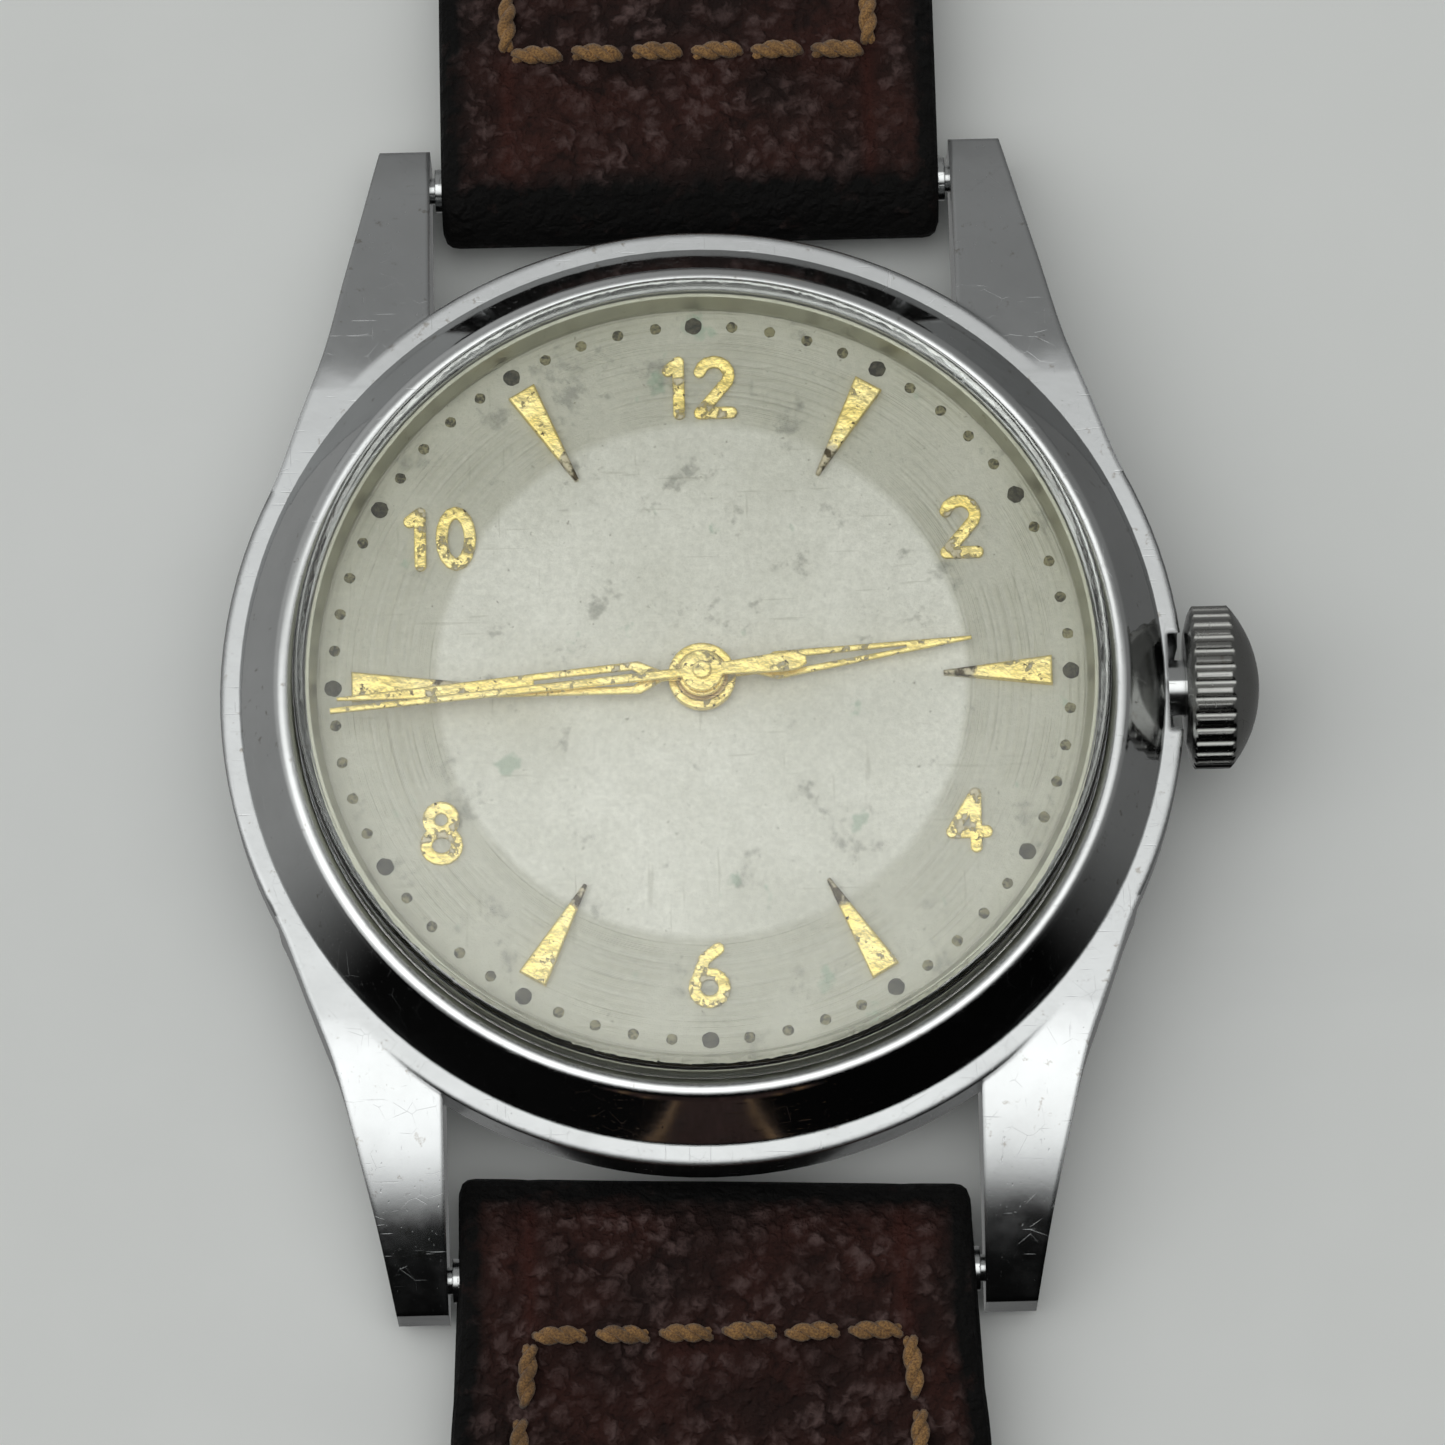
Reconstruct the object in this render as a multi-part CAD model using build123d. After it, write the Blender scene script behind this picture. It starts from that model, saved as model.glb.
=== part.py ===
"""A mechanical wristwatch on a leather strap, laid out flat.

Origin: centre of the flat face of the case back. +X to the crown, +Y to twelve o'clock,
+Z up out of the dial. Millimetres.
"""
from build123d import *
import os
from math import atan2, ceil, cos, degrees, hypot, pi, radians, sin

# ---- case ------------------------------------------------------------------------
CASE_R = 16.28            # flank of the case
SHELF_Z = 5.95            # flat ring that the bezel stands on
FLANK_LOW_Z = 3.9         # the flank is upright above this height and tapers below it
BASE_R = 15.6
BASE_Z = 1.6
BORE_R = 13.3             # room for the movement
NECK_R = 13.7             # neck that the bezel is pressed on
NECK_Z = 6.9
BACK_THREAD_R = 13.9
BACK_LEDGE_Z = 2.7
BACK_FLOOR = 0.9

LUG_WIDTH = 18.0          # the strap width that the lugs take
LUG_TIP_Y = 20.5
BAR_Y = 19.24
BAR_Z = 2.1
BAR_R = 0.75
BAR_PIN_R = 0.45
BAR_HOLE_R = 0.48

BEZEL_BASE_R = 15.65
BEZEL_TOP_Z = 7.93
CRYSTAL_R = 13.68
CRYSTAL_WALL_R = 13.25
CRYSTAL_Z = 6.95
CRYSTAL_TOP_Z = 10.4

# ---- dial and hands --------------------------------------------------------------
DIAL_R = 13.1
DIAL_Z = 6.9
DIAL_TOP = 7.3
HOUR_ANGLE = 7.0          # anticlockwise from +X, as the hands stand at about 2:45
MINUTE_ANGLE = 182.8
SECOND_ANGLE = 185.0
HOUR_HAND_Z = 7.7
MINUTE_HAND_Z = 8.05
SECOND_HAND_Z = 8.4
HAND_THICK = 0.14

# ---- crown -----------------------------------------------------------------------
STEM_Z = 4.9
CROWN_R = 2.76
CROWN_FLUTES = 32

# ---- movement --------------------------------------------------------------------
PLATE_R = 12.9
PLATE_Z = 5.5             # underside of the main plate
MOTION_Z = 6.3            # floor of the dial-side recess for the motion work
PIVOT_R = 0.09
ARBOR_R = 0.15

CENTRE_TEETH, THIRD_PINION = 64, 8
THIRD_TEETH, SECONDS_PINION = 60, 8
SECONDS_TEETH, ESCAPE_PINION = 70, 7
BARREL_TEETH, CENTRE_PINION = 72, 10
CANNON_TEETH, MINUTE_TEETH = 12, 36
MINUTE_PINION, HOUR_TEETH = 12, 48
SETTING_TEETH = 18
ESCAPE_TEETH = 15
RATCHET_TEETH, CROWN_WHEEL_TEETH = 46, 34
WINDING_TEETH = 17

M_CENTRE = 0.12
M_THIRD = M_CENTRE * (CENTRE_TEETH + THIRD_PINION) / (THIRD_TEETH + SECONDS_PINION)
M_SECONDS = 0.112
M_BARREL = 0.155
M_CANNON = 0.13
M_HOUR = M_CANNON * (CANNON_TEETH + MINUTE_TEETH) / (MINUTE_PINION + HOUR_TEETH)


def polar(radius, angle, centre=(0, 0)):
    """The point at a radius and an angle in degrees from a centre."""
    turn = radians(angle)
    return (centre[0] + radius * cos(turn), centre[1] + radius * sin(turn))


def mesh_distance(module, n1, n2):
    return module * (n1 + n2) / 2


THIRD_AT = polar(mesh_distance(M_CENTRE, CENTRE_TEETH, THIRD_PINION), 180)
ESCAPE_AT = polar(mesh_distance(M_SECONDS, SECONDS_TEETH, ESCAPE_PINION), 305)
BARREL_AT = polar(mesh_distance(M_BARREL, BARREL_TEETH, CENTRE_PINION), 78)
MINUTE_AT = polar(mesh_distance(M_CANNON, CANNON_TEETH, MINUTE_TEETH), 330)
SETTING_AT = polar(mesh_distance(M_CANNON, MINUTE_TEETH, SETTING_TEETH), -14, MINUTE_AT)
CROWN_WHEEL_AT = (6.8, 0)
CONTRATE_R = 2.3          # ring of upright teeth that the winding pinion drives
BALANCE_AT = (-3.2, -8.0)
BALANCE_R = 4.2
ESCAPE_R = 2.1
PALLET_REACH = 2.75       # from the escape wheel's centre to the pallet staff
ROLLER_PIN_R = 0.6
WINDING_X = 8.85          # inner face of the winding pinion's teeth

# ---- strap -----------------------------------------------------------------------
STRAP_W = 17.2            # at the lugs
STRAP_END_W = 16.0        # at the buckle
FOLD_R = 2.05
STRAP_FLOOR = 0.05
BUCKLE_Y = 94.0           # hinge bar of the buckle
BUCKLE_Z = 2.3
BUCKLE_LOOP_R = 1.25
TONGUE_SLOT_HALF_W = 1.9
TAIL_TIP_Y = -134.0
STRAP_HOLES = 7
STRAP_HOLE_PITCH = 6.5
FIRST_HOLE_Y = -82.0
KEEPER_Y = (84.5, 74.0)   # fixed keeper, free keeper
KEEPER_W = 5.0
KEEPER_WALL = 0.9


# ---- shapes that repeat ----------------------------------------------------------
def disc(r, z0, z1, at=(0, 0)):
    return extrude(Pos(at[0], at[1], z0) * Circle(r), z1 - z0)


def tube(r_out, r_in, z0, z1, at=(0, 0)):
    return disc(r_out, z0, z1, at) - disc(r_in, z0 - 1, z1 + 1, at)


def rod_x(r, x0, x1, y=0, z=STEM_Z):
    """A round bar along X."""
    return extrude(Plane(origin=(x0, y, z), z_dir=(1, 0, 0)) * Circle(r), x1 - x0)


def block(x0, x1, y0, y1, z0, z1):
    centre = Pos((x0 + x1) / 2, (y0 + y1) / 2, (z0 + z1) / 2)
    return centre * Box(x1 - x0, y1 - y0, z1 - z0)


def plate_of(points, z0, z1):
    """A flat piece with a straight-sided outline."""
    return Pos(0, 0, z0) * extrude(make_face(Polyline(*points, close=True)), z1 - z0)


def hull_plate(circles, z0, z1):
    """A flat piece whose outline wraps round some (x, y, r) circles."""
    edges = [edge for x, y, r in circles for edge in (Pos(x, y) * Circle(r)).edges()]
    return Pos(0, 0, z0) * extrude(make_hull(edges), z1 - z0)


def turned(points, axis=Axis.Z):
    """A turned piece from its (radius, height) outline."""
    face = Plane.XZ * make_face(Polyline(*points, close=True))
    return revolve(face, axis, 360)


def gear_outline(n, module, phase):
    """Teeth with straight flanks, a short tip and free play at the pitch circle."""
    pitch_r = module * n / 2
    root = pitch_r - 1.05 * module
    tip = pitch_r + 0.6 * module
    pitch = 2 * pi / n
    points = []
    for i in range(n):
        middle = radians(phase) + i * pitch
        for r, share in ((root, -0.25), (tip, -0.1), (tip, 0.1), (root, 0.25)):
            angle = middle + share * pitch
            points.append((r * cos(angle), r * sin(angle)))
    return make_face(Polyline(*points, close=True))


def gear(n, module, z0, z1, at=(0, 0), phase=0.0):
    return Pos(at[0], at[1], z0) * extrude(gear_outline(n, module, phase), z1 - z0)


def mating_phase(phase, n, at, other_n, other_at):
    """The phase at which a gear's gap faces the tooth of the gear that it meshes with."""
    line = degrees(atan2(other_at[1] - at[1], other_at[0] - at[0]))
    return line + 180 - (phase - line) * n / other_n + 180 / other_n


def spokes(wheel, r_hub, r_rim, z0, z1, at, count=4, width=0.35):
    """Opens a wheel's web between its arms."""
    web = tube(r_rim, r_hub, z0 - 0.1, z1 + 0.1, at)
    for i in range(count):
        arm = Rot(0, 0, i * 360 / count + 20) * Box(4 * r_rim, width, 3 * (z1 - z0))
        web -= Pos(at[0], at[1], (z0 + z1) / 2) * arm
    return wheel - web


def arbor(z0, z1, at, r=ARBOR_R, pivot=0.2):
    """A staff with a thin pivot at each end."""
    return disc(r, z0 + pivot, z1 - pivot, at) + disc(PIVOT_R, z0, z1, at)


def spiral(r0, r1, turns, thick, z0, z1, at, steps=24):
    """A flat strip coiled from r0 out to r1."""
    count = ceil(turns * steps)
    outer, inner = [], []
    for i in range(count + 1):
        angle = 2 * pi * turns * i / count
        r = r0 + (r1 - r0) * i / count
        outer.append((at[0] + (r + thick / 2) * cos(angle), at[1] + (r + thick / 2) * sin(angle)))
        inner.append((at[0] + (r - thick / 2) * cos(angle), at[1] + (r - thick / 2) * sin(angle)))
    return plate_of(outer + inner[::-1], z0, z1)


def four_ways(piece):
    """A piece of one quarter of the case, in all four quarters."""
    half = piece + mirror(piece, Plane.YZ)
    return half + mirror(half, Plane.XZ)


# ---- case ------------------------------------------------------------------------
def lug():
    """One lug: its plan cut to its side outline."""
    inner = LUG_WIDTH / 2
    flank = Spline(
        (10.75, LUG_TIP_Y), (11.4, 17.3), (12.07, 14.5), (12.64, 12.3), (13.5, 10.0), (14.5, 7.4),
        tangents=[(0.19, -0.98), (0.454, -0.891)],
    )
    rest = Polyline((14.5, 7.4), (12.2, 7.4), (inner, 11.0), (inner, LUG_TIP_Y), (10.75, LUG_TIP_Y))
    plan = extrude(make_face(flank + rest), 8)
    top = ThreePointArc((11.0, SHELF_Z), (15.75, 5.214), (LUG_TIP_Y - 0.1, 2.79))
    under = Polyline(
        (LUG_TIP_Y - 0.1, 2.79), (LUG_TIP_Y, 2.65), (LUG_TIP_Y, 0.75), (20.2, 0.5),
        (13.0, BASE_Z), (6.0, BASE_Z), (6.0, SHELF_Z), (11.0, SHELF_Z),
    )
    side = extrude(Plane.YZ * make_face(top + under), 20)
    return plan & side


def mid_case():
    body = turned([
        (BORE_R, BACK_LEDGE_Z), (BACK_THREAD_R, BACK_LEDGE_Z), (BACK_THREAD_R, BASE_Z),
        (BASE_R - 0.1, BASE_Z), (BASE_R, BASE_Z + 0.1), (CASE_R, FLANK_LOW_Z),
        (CASE_R, SHELF_Z - 0.1), (CASE_R - 0.1, SHELF_Z),
        (NECK_R, SHELF_Z), (NECK_R, NECK_Z), (BORE_R, NECK_Z),
    ])
    body += four_ways(lug()) - disc(BORE_R + 0.2, 0, 8)
    for side in (-1, 1):
        body -= rod_x(BAR_HOLE_R, -9.95, 9.95, side * BAR_Y, BAR_Z)
    body -= rod_x(0.95, 12.5, 17)
    return body - rod_x(1.95, 15.75, 20)


def bezel():
    return turned([
        (NECK_R + 0.02, SHELF_Z), (BEZEL_BASE_R, SHELF_Z), (BEZEL_BASE_R - 0.05, SHELF_Z + 0.15),
        (14.45, 7.68), (14.36, 7.83), (14.22, 7.91), (14.07, BEZEL_TOP_Z), (13.92, 7.91), (13.79, 7.83),
        (NECK_R + 0.02, 7.7),
    ])


def dome(r, z_edge, z_top):
    """The ball whose cap is as wide as r at z_edge and tops out at z_top."""
    rise = z_top - z_edge
    ball_r = (r * r + rise * rise) / (2 * rise)
    return Pos(0, 0, z_top - ball_r) * Sphere(ball_r)


def crystal():
    """A domed acrylic glass with an upright wall."""
    outer = disc(CRYSTAL_R, CRYSTAL_Z, 12) & dome(CRYSTAL_R, 9.3, CRYSTAL_TOP_Z)
    rim = outer.edges().filter_by(lambda edge: edge.is_closed).sort_by(Axis.Z)[-1]
    outer = fillet(rim, 0.42)
    return outer - (disc(CRYSTAL_WALL_R, CRYSTAL_Z - 1, 12) & dome(CRYSTAL_WALL_R, 8.55, 9.5))


def tension_ring():
    return turned([
        (12.88, DIAL_TOP + 0.02), (CRYSTAL_WALL_R - 0.02, DIAL_TOP + 0.02), (CRYSTAL_WALL_R - 0.02, 8.25),
        (13.1, 8.25), (12.88, 7.6),
    ])


def case_back():
    back = turned([
        (0, 0), (11.8, 0), (13.9, 0.55), (14.6, 1.1), (14.6, BASE_Z - 0.02),
        (BACK_THREAD_R - 0.05, BASE_Z - 0.02), (BACK_THREAD_R - 0.05, 2.3), (13.1, 2.3), (13.1, 1.3),
        (12.4, BACK_FLOOR), (0, BACK_FLOOR),
    ])
    for i in range(6):
        notch = Pos(13.9, 0, 0.55) * Box(1.9, 1.5, 1.3)
        back -= Rot(0, 0, 30 + 60 * i) * notch
    return back


def crown():
    """Turned about the stem's axis with a domed end, then fluted."""
    end_x, edge_x, edge_r = 18.85, 17.95, 2.6
    body = turned([
        (0, 16.32), (1.9, 16.32), (2.5, 16.48), (CROWN_R, 16.62), (CROWN_R, 17.8),
        (edge_r, edge_x), (edge_r, end_x), (0, end_x),
    ])
    body &= dome(edge_r, edge_x, end_x)
    body -= disc(1.0, 15, 17.35) + disc(0.45, 17.3, 18.2)
    flute = disc(0.19, 16.2, 17.95, (CROWN_R + 0.06, 0))
    for i in range(CROWN_FLUTES):
        body -= Rot(0, 0, i * 360 / CROWN_FLUTES) * flute
    return Pos(0, 0, STEM_Z) * (Rot(0, 90, 0) * body)


def stem():
    """Thread, shoulder, setting groove, square for the clutch and pilot, along the crown's axis."""
    shaft = rod_x(0.45, 17.35, 18.2)
    shaft += rod_x(0.6, 10.7, 17.35)
    shaft += rod_x(0.3, 10.1, 10.7)
    shaft += rod_x(0.6, 9.55, 10.1)
    shaft += rod_x(0.47, 8.5, 9.55)
    shaft += block(6.2, 8.5, -0.33, 0.33, STEM_Z - 0.33, STEM_Z + 0.33)
    return shaft + rod_x(0.25, 4.2, 6.2)


# ---- dial and hands --------------------------------------------------------------
def dial():
    plate = disc(DIAL_R, DIAL_Z, DIAL_TOP) - disc(0.95, DIAL_Z - 1, DIAL_TOP + 1)
    for angle in (142, 322):
        plate += disc(0.4, 6.2, DIAL_Z, polar(11.4, angle))
    return plate


def hour_markers():
    """Six applied wedges at the odd hours, wide end outwards."""
    wedge = plate_of([(8.07, -0.06), (11.7, -0.5), (11.7, 0.5), (8.07, 0.06)], DIAL_TOP, DIAL_TOP + 0.28)
    wedge = chamfer(wedge.faces().sort_by(Axis.Z)[-1].edges().filter_by(lambda e: e.length > 0.5), 0.04)
    return [Rot(0, 0, 60 * i) * wedge for i in range(6)]


def stroke(points, width=0.4):
    """A round-ended line of even width through some points."""
    shape = Sketch()
    for a, b in zip(points, points[1:]):
        length = hypot(b[0] - a[0], b[1] - a[1])
        turn = degrees(atan2(b[1] - a[1], b[0] - a[0]))
        bar = Rectangle(length, width)
        shape += Pos((a[0] + b[0]) / 2, (a[1] + b[1]) / 2) * (Rot(0, 0, turn) * bar)
        shape += Pos(a[0], a[1]) * Circle(width / 2)
        shape += Pos(b[0], b[1]) * Circle(width / 2)
    return shape


def arc_points(cx, cy, rx, ry, start, end, steps=8):
    turns = [radians(start + (end - start) * i / steps) for i in range(steps + 1)]
    return [(cx + rx * cos(t), cy + ry * sin(t)) for t in turns]


def digit(figure):
    """An upright figure about 2.2 high, centred on the origin."""
    if figure == "0":
        return stroke(arc_points(0, 0, 0.48, 0.9, 0, 360, 16))
    if figure == "1":
        return stroke([(-0.25, 0.62), (0.1, 0.9), (0.1, -0.9)])
    if figure == "2":
        return stroke(arc_points(0, 0.42, 0.5, 0.48, 165, -30) + [(-0.5, -0.9), (0.55, -0.9)])
    if figure == "4":
        return stroke([(0.55, -0.4), (-0.6, -0.4), (0.2, 0.9), (0.2, -0.9)])
    if figure == "6":
        loop = arc_points(0, -0.42, 0.5, 0.48, 180, 540, 16)
        return stroke([(0.32, 0.9), (-0.15, 0.55)] + loop)
    upper = stroke(arc_points(0, 0.45, 0.42, 0.42, 0, 360, 16))
    return upper + stroke(arc_points(0, -0.43, 0.52, 0.47, 0, 360, 16))


def hour_numerals():
    """Raised figures at the even hours: they stand upright on the dial."""
    places = (("12", 90), ("2", 30), ("4", -30), ("6", -90), ("8", 210), ("10", 150))
    solids = []
    for text, angle in places:
        x, y = polar(10.15, angle)
        for i, figure in enumerate(text):
            shift = (i - (len(text) - 1) / 2) * 1.3
            flat = Pos(x + shift, y) * digit(figure)
            solids.append(Pos(0, 0, DIAL_TOP) * extrude(flat, 0.13))
    return solids


def hand(outline, slot, hub_r, hole_r, z, angle):
    """A flat hand along +X with an open slot and a ring hub, then turned to its angle."""
    body = plate_of(outline, z, z + HAND_THICK) + disc(hub_r, z, z + HAND_THICK)
    if slot:
        body -= plate_of(slot, z - 1, z + 1)
    if hole_r:
        body -= disc(hole_r, z - 1, z + 1)
    return Rot(0, 0, angle) * body


def hour_hand():
    outline = [(0.5, -0.17), (1.8, -0.19), (2.5, -0.47), (9.1, -0.05),
               (9.1, 0.05), (2.5, 0.47), (1.8, 0.19), (0.5, 0.17)]
    slot = [(2.3, 0), (2.75, -0.22), (6.9, -0.04), (6.9, 0.04), (2.75, 0.22)]
    body = hand(outline, slot, 1.13, 0.86, HOUR_HAND_Z, HOUR_ANGLE)
    return body + tube(1.13, 0.86, HOUR_HAND_Z - 0.2, HOUR_HAND_Z + HAND_THICK)


def minute_hand():
    outline = [(0.4, -0.17), (1.35, -0.18), (2.1, -0.55), (12.2, -0.05),
               (12.2, 0.05), (2.1, 0.55), (1.35, 0.18), (0.4, 0.17)]
    slot = [(1.9, 0), (2.3, -0.28), (5.6, -0.16), (5.6, 0.16), (2.3, 0.28)]
    return hand(outline, slot, 0.78, 0.52, MINUTE_HAND_Z, MINUTE_ANGLE)


def second_hand():
    outline = [(0.3, -0.15), (12.45, -0.09), (12.45, 0.09), (0.3, 0.15), (-2.6, 0.32),
               (-3.2, 0.3), (-3.5, 0.12), (-3.5, -0.12), (-3.2, -0.3), (-2.6, -0.32)]
    body = hand(outline, None, 0.7, 0, SECOND_HAND_Z, SECOND_ANGLE)
    body += disc(0.3, SECOND_HAND_Z - 0.05, SECOND_HAND_Z + 0.32)
    return body - disc(0.12, SECOND_HAND_Z - 0.2, SECOND_HAND_Z + 0.05)


# ---- movement: plate and bridges -------------------------------------------------
PALLET_LINE = degrees(atan2(BALANCE_AT[1] - ESCAPE_AT[1], BALANCE_AT[0] - ESCAPE_AT[0]))
PALLET_AT = polar(PALLET_REACH, PALLET_LINE, ESCAPE_AT)
PALLET_FOOT = polar(2.3, PALLET_LINE + 90, PALLET_AT)
TRAIN_FEET = ((-10.2, 0.0), (7.2, -6.8))
BARREL_FEET = ((-6.0, 10.0), (10.3, 4.9), (-8.1, 5.4))
COCK_FOOT = (-9.0, -6.7)
BRIDGE_SCREW_R = 0.35
PLATE_JEWELS = (THIRD_AT, ESCAPE_AT, PALLET_AT, BALANCE_AT)
BRIDGE_Z = {"barrel": (3.4, 4.4), "train": (2.75, 3.3), "pallet": (3.95, 4.22), "cock": (2.95, 3.55)}
SCREWS = (
    [(at, BRIDGE_Z["train"][0]) for at in TRAIN_FEET]
    + [(at, BRIDGE_Z["barrel"][0]) for at in BARREL_FEET]
    + [(PALLET_FOOT, BRIDGE_Z["pallet"][0]), (COCK_FOOT, BRIDGE_Z["cock"][0])]
)


def main_plate():
    plate = disc(PLATE_R, PLATE_Z, DIAL_Z)
    plate += block(11.6, 12.7, -1.4, 1.4, 4.45, PLATE_Z)
    plate += block(4.6, 5.4, -0.8, 0.8, 4.45, PLATE_Z)
    plate -= hull_plate([(0, 0, 2.85), (*MINUTE_AT, 2.6), (*SETTING_AT, 1.45)], MOTION_Z, DIAL_Z + 1)
    plate += disc(0.35, MOTION_Z, 6.85, MINUTE_AT) + disc(0.3, MOTION_Z, 6.8, SETTING_AT)
    plate -= block(5.6, 11.2, -1.42, 1.42, 4, 6.24)
    plate -= rod_x(0.62, 10, 14) + rod_x(0.28, 4, 6)
    plate -= disc(0.48, 4, 8)
    plate -= disc(0.32, 5, 5.75, BARREL_AT)
    for at in PLATE_JEWELS:
        plate -= disc(0.45, 5, 5.75, at) + disc(0.2, 5.7, 5.95, at)
    for at, _ in SCREWS:
        plate -= disc(BRIDGE_SCREW_R + 0.01, 5, 6.2, at)
    for angle in (142, 322):
        plate -= disc(0.42, 6.15, 8, polar(11.4, angle))
    for at in ((10.4, -3.4), (7.0, -3.6)):
        plate += disc(0.3, 5.0, PLATE_Z, at)
    return plate


def barrel_bridge():
    z0, z1 = BRIDGE_Z["barrel"]
    bridge = disc(12.4, z0, z1) & block(-8.6, 12.6, -2.1, 12.6, z0, z1)
    bridge -= block(-13, 0, -3, 2.0, 3, 5)
    bridge -= disc(4.3, 3, 5)
    bridge -= disc(4.15, 3, 5, THIRD_AT)
    bridge -= block(4.4, 12.6, -1.42, 1.42, 3.86, 5)
    bridge -= tube(2.72, 1.9, 3, 3.95, CROWN_WHEEL_AT)
    bridge += disc(0.98, 2.94, z0, CROWN_WHEEL_AT)
    bridge -= disc(0.4, 2, 3.75, CROWN_WHEEL_AT)
    bridge -= disc(0.53, 3, 5, BARREL_AT)
    bridge += disc(0.3, 2.9, z0, CLICK_AT)
    for at in BARREL_FEET:
        bridge += disc(1.15, z0, PLATE_Z, at)
        bridge -= disc(0.4, 3, 6, at)
    return bridge


def train_bridge():
    z0, z1 = BRIDGE_Z["train"]
    circles = [(*at, 1.3) for at in TRAIN_FEET] + [(0, 0, 1.2), (*ESCAPE_AT, 1.3)]
    bridge = hull_plate(circles, z0, z1)
    bridge -= disc(5.05, 2, 4, BARREL_AT) + disc(3.85, 2, 4, CROWN_WHEEL_AT)
    for at in ((0, 0), THIRD_AT, ESCAPE_AT):
        bridge -= disc(0.45, z1 - 0.25, 4, at) + disc(0.2, z1 - 0.45, 4, at)
    for at in TRAIN_FEET:
        bridge += disc(1.2, z1, PLATE_Z, at)
        bridge -= disc(0.4, 2, 6, at)
    return bridge


def pallet_cock():
    z0, z1 = BRIDGE_Z["pallet"]
    cock = hull_plate([(*PALLET_AT, 0.5), (*PALLET_FOOT, 0.75)], z0, z1)
    cock += disc(0.7, z1, PLATE_Z, PALLET_FOOT)
    cock -= disc(0.4, 3, 6, PALLET_FOOT)
    return cock - disc(0.3, z1 - 0.17, 5, PALLET_AT) - disc(0.12, 3, 5, PALLET_AT)


def balance_cock():
    z0, z1 = BRIDGE_Z["cock"]
    cock = hull_plate([(*BALANCE_AT, 1.2), (*COCK_FOOT, 1.6)], z0, z1)
    cock += disc(1.1, z1, PLATE_Z, COCK_FOOT)
    cock -= disc(0.4, 2, 6, COCK_FOOT)
    return cock - disc(0.45, z1 - 0.25, 4, BALANCE_AT) - disc(0.2, z1 - 0.45, 4, BALANCE_AT)


def bridge_screws():
    """Slotted screws, one through each foot of a bridge or cock."""
    solids = []
    for at, z in SCREWS:
        screw = disc(0.7, z - 0.3, z, at) + disc(BRIDGE_SCREW_R, z, 6.1, at)
        solids.append(screw - Pos(at[0], at[1], z - 0.3) * Box(2, 0.2, 0.24))
    return solids


def jewels():
    """Pierced stones that the pivots run in."""
    stones = [(at, PLATE_Z) for at in PLATE_JEWELS]
    stones += [(at, BRIDGE_Z["train"][1] - 0.24) for at in ((0, 0), THIRD_AT, ESCAPE_AT)]
    stones.append((BALANCE_AT, BRIDGE_Z["cock"][1] - 0.24))
    return [tube(0.44, PIVOT_R + 0.02, z, z + 0.24, at) for at, z in stones]


# ---- movement: power -------------------------------------------------------------
RATCHET_CENTRES = hypot(BARREL_AT[0] - CROWN_WHEEL_AT[0], BARREL_AT[1])
RATCHET_M = 2 * RATCHET_CENTRES / (RATCHET_TEETH + CROWN_WHEEL_TEETH)
RATCHET_Z = (2.96, 3.3)
CLICK_AT = polar(6.2, 162, BARREL_AT)


def barrel():
    """The going barrel: an open drum with teeth round its upper edge."""
    phase = mating_phase(0, CENTRE_PINION, (0, 0), BARREL_TEETH, BARREL_AT)
    drum = disc(5.3, 4.5, 5.35, BARREL_AT) + gear(BARREL_TEETH, M_BARREL, 5.08, 5.3, BARREL_AT, phase)
    return drum - disc(5.1, 4.4, 5.2, BARREL_AT) - disc(0.55, 4, 6, BARREL_AT)


def barrel_cover():
    return tube(5.08, 0.55, 4.5, 4.62, BARREL_AT)


def barrel_arbor():
    staff = disc(0.5, 3.32, 5.42, BARREL_AT) + disc(0.3, 5.42, 5.72, BARREL_AT)
    staff += disc(1.0, 4.66, 5.16, BARREL_AT)
    x, y = BARREL_AT
    return staff + block(x - 0.35, x + 0.35, y - 0.35, y + 0.35, RATCHET_Z[0], 3.32)


def mainspring():
    return spiral(1.25, 4.85, 7, 0.13, 4.7, 5.1, BARREL_AT)


def ratchet_wheel():
    line = mating_phase(0, CROWN_WHEEL_TEETH, CROWN_WHEEL_AT, RATCHET_TEETH, BARREL_AT)
    wheel = gear(RATCHET_TEETH, RATCHET_M, *RATCHET_Z, BARREL_AT, line)
    x, y = BARREL_AT
    return wheel - block(x - 0.35, x + 0.35, y - 0.35, y + 0.35, 2, 4)


def ratchet_screw():
    screw = disc(1.3, 2.68, RATCHET_Z[0], BARREL_AT)
    return screw - Pos(*BARREL_AT, 2.68) * Box(4, 0.25, 0.24)


def crown_wheel():
    """Spur teeth for the ratchet wheel, and a ring of upright teeth for the winding pinion."""
    wheel = gear(CROWN_WHEEL_TEETH, RATCHET_M, *RATCHET_Z, CROWN_WHEEL_AT)
    wheel += tube(CONTRATE_R + 0.2, CONTRATE_R - 0.2, RATCHET_Z[1], 3.5, CROWN_WHEEL_AT)
    pitch = 2 * pi * CONTRATE_R / CROWN_WHEEL_TEETH
    tooth = Pos(CONTRATE_R, 0, 3.62) * Box(0.36, 0.28 * pitch, 0.34)
    for i in range(CROWN_WHEEL_TEETH):
        wheel += Pos(*CROWN_WHEEL_AT, 0) * (Rot(0, 0, (i + 0.5) * 360 / CROWN_WHEEL_TEETH) * tooth)
    return wheel - disc(1.02, 2, 4, CROWN_WHEEL_AT)


def crown_wheel_screw():
    x, y = CROWN_WHEEL_AT
    screw = disc(1.6, 2.66, 2.92, CROWN_WHEEL_AT) + disc(0.38, 2.92, 3.7, CROWN_WHEEL_AT)
    return screw - Pos(x, y, 2.66) * Box(4, 0.28, 0.24)


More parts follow.
